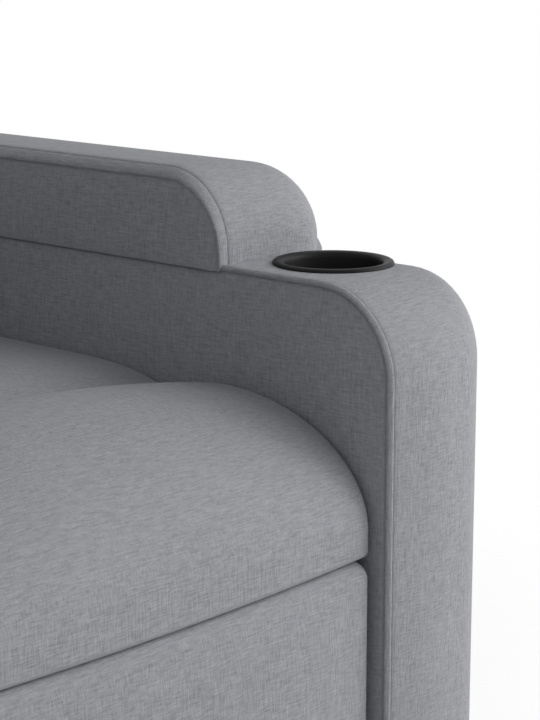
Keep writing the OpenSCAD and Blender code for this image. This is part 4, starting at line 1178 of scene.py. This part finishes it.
def make_pockets():
    """Patch pockets with full sides and bottom, an open top and a corded hem."""
    low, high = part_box("left_side_pocket")
    across, up = POCKET_CELLS
    left = [pocket_point(low, high, i / across, j / up) for j in range(up + 1) for i in range(across + 1)]
    for side, word in ((1, "left"), (-1, "right")):
        points = mirrored(left, side)
        faces = []
        for j in range(up):
            for i in range(across):
                a = j * (across + 1) + i
                quad = (a, a + 1, a + across + 2, a + across + 1)
                faces.append(quad if side > 0 else quad[::-1])
        mesh = bpy.data.meshes.new(word + "_pocket")
        mesh.from_pydata(points.tolist(), [], faces)
        obj = add_object(word + "_pocket", mesh, fabric)
        obj["body"] = "chassis"
        wall = obj.modifiers.new("wall", "SOLIDIFY")
        wall.thickness = POCKET_CLOTH
        wall.offset = -1
        apply_modifiers(obj)
        subdivide(obj)
        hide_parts(word + "_side_pocket")
        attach(obj, "chassis")
        hem = resampled(points[-(across + 1):], CORD_STEP, False) - (side * HEM_SUNK, 0, 0)
        outward = np.tile((side, 0.0, 0.0), (len(hem), 1))
        cord = tube(word + "_pocket_hem", hem, outward, HEM_R, fabric, "chassis", closed=False)
        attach(cord, "chassis")


# ---------------------------------------------------------------- floor and light

AMBIENT = 0.31
FLOOR_COLOUR = (0.80, 0.80, 0.80)
FLOOR_GLOW = 0.45
FLOOR_FADE = (0.75, 1.5)
FLOOR_HALF = 14.0

# place, side of the square and watts
LIGHTS = {
    "key": ((2.6, -1.9, 1.4), 2.0, 38),
    "high": ((1.7, -2.6, 2.2), 2.0, 32),
}
AIM = (0.1, -0.15, 0.5)


def seen_directly(t):
    """1 on rays that show the background itself, in the picture or in a reflection."""
    path = t.node("ShaderNodeLightPath")
    shown = t.math("MAXIMUM", path.outputs["Is Camera Ray"], path.outputs["Is Glossy Ray"])
    return t.math("MAXIMUM", shown, path.outputs["Is Transmission Ray"])


def add_floor():
    """A plain white floor that keeps the chair's shadow and fades to the white background."""
    mesh = bpy.data.meshes.new("floor")
    corners = [(a * FLOOR_HALF, b * FLOOR_HALF, 0) for a, b in ((-1, -1), (1, -1), (1, 1), (-1, 1))]
    mesh.from_pydata(corners, [], [(0, 1, 2, 3)])
    made = bpy.data.materials.new("floor_white")
    made.use_nodes = True
    t = Tree(made.node_tree)
    t.tree.nodes.clear()
    matte = t.node("ShaderNodeBsdfDiffuse", {"Color": (*FLOOR_COLOUR, 1)})
    glow = t.node("ShaderNodeEmission", {"Color": (1, 1, 1, 1)})
    shown = seen_directly(t)
    t.link(t.math("MULTIPLY", shown, FLOOR_GLOW), glow.inputs["Strength"])
    both = t.node("ShaderNodeAddShader")
    t.link(matte.outputs[0], both.inputs[0])
    t.link(glow.outputs[0], both.inputs[1])
    coords = t.node("ShaderNodeTexCoord")
    reach = t.node("ShaderNodeVectorMath", operation="LENGTH")
    t.link(coords.outputs["Object"], reach.inputs[0])
    limits = {"From Min": FLOOR_FADE[0], "From Max": FLOOR_FADE[1]}
    fade = t.node("ShaderNodeMapRange", limits, interpolation_type="SMOOTHSTEP")
    t.link(reach.outputs["Value"], fade.inputs["Value"])
    blank = t.node("ShaderNodeEmission", {"Color": (1, 1, 1, 1), "Strength": 1.0})
    mixed = t.node("ShaderNodeMixShader")
    t.link(t.math("MULTIPLY", fade.outputs["Result"], shown), mixed.inputs[0])
    t.link(both.outputs[0], mixed.inputs[1])
    t.link(blank.outputs[0], mixed.inputs[2])
    out = t.node("ShaderNodeOutputMaterial")
    t.link(mixed.outputs[0], out.inputs["Surface"])
    floor = add_object("floor", mesh, made)


def add_world():
    world = bpy.data.worlds.new("studio")
    scene.world = world
    world.use_nodes = True
    t = Tree(world.node_tree)
    background = world.node_tree.nodes["Background"]
    background.inputs["Color"].default_value = (1, 1, 1, 1)
    strength = t.math("MULTIPLY_ADD", seen_directly(t), 1.0 - AMBIENT, AMBIENT)
    t.link(strength, background.inputs["Strength"])


def add_lights():
    for name, (place, size, power) in LIGHTS.items():
        data = bpy.data.lights.new(name, "AREA")
        data.shape = "SQUARE"
        data.size = size
        data.energy = power
        lamp = bpy.data.objects.new(name, data)
        lamp.location = place
        lamp.rotation_euler = (Vector(AIM) - Vector(place)).to_track_quat("-Z", "Y").to_euler()
        scene.collection.objects.link(lamp)


# ---------------------------------------------------------------- all of it

add_camera()
dress_cad_nodes()
soft = make_stuffed()
add_back_seams(soft)
for piece in soft.values():
    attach(piece, piece["body"])
make_arms()
make_arm_pads()
make_footrest()
make_cup_holders()
make_back_cover()
make_lower_panel()
make_pockets()
add_floor()
add_world()
add_lights()
scene.view_settings.view_transform = "Standard"
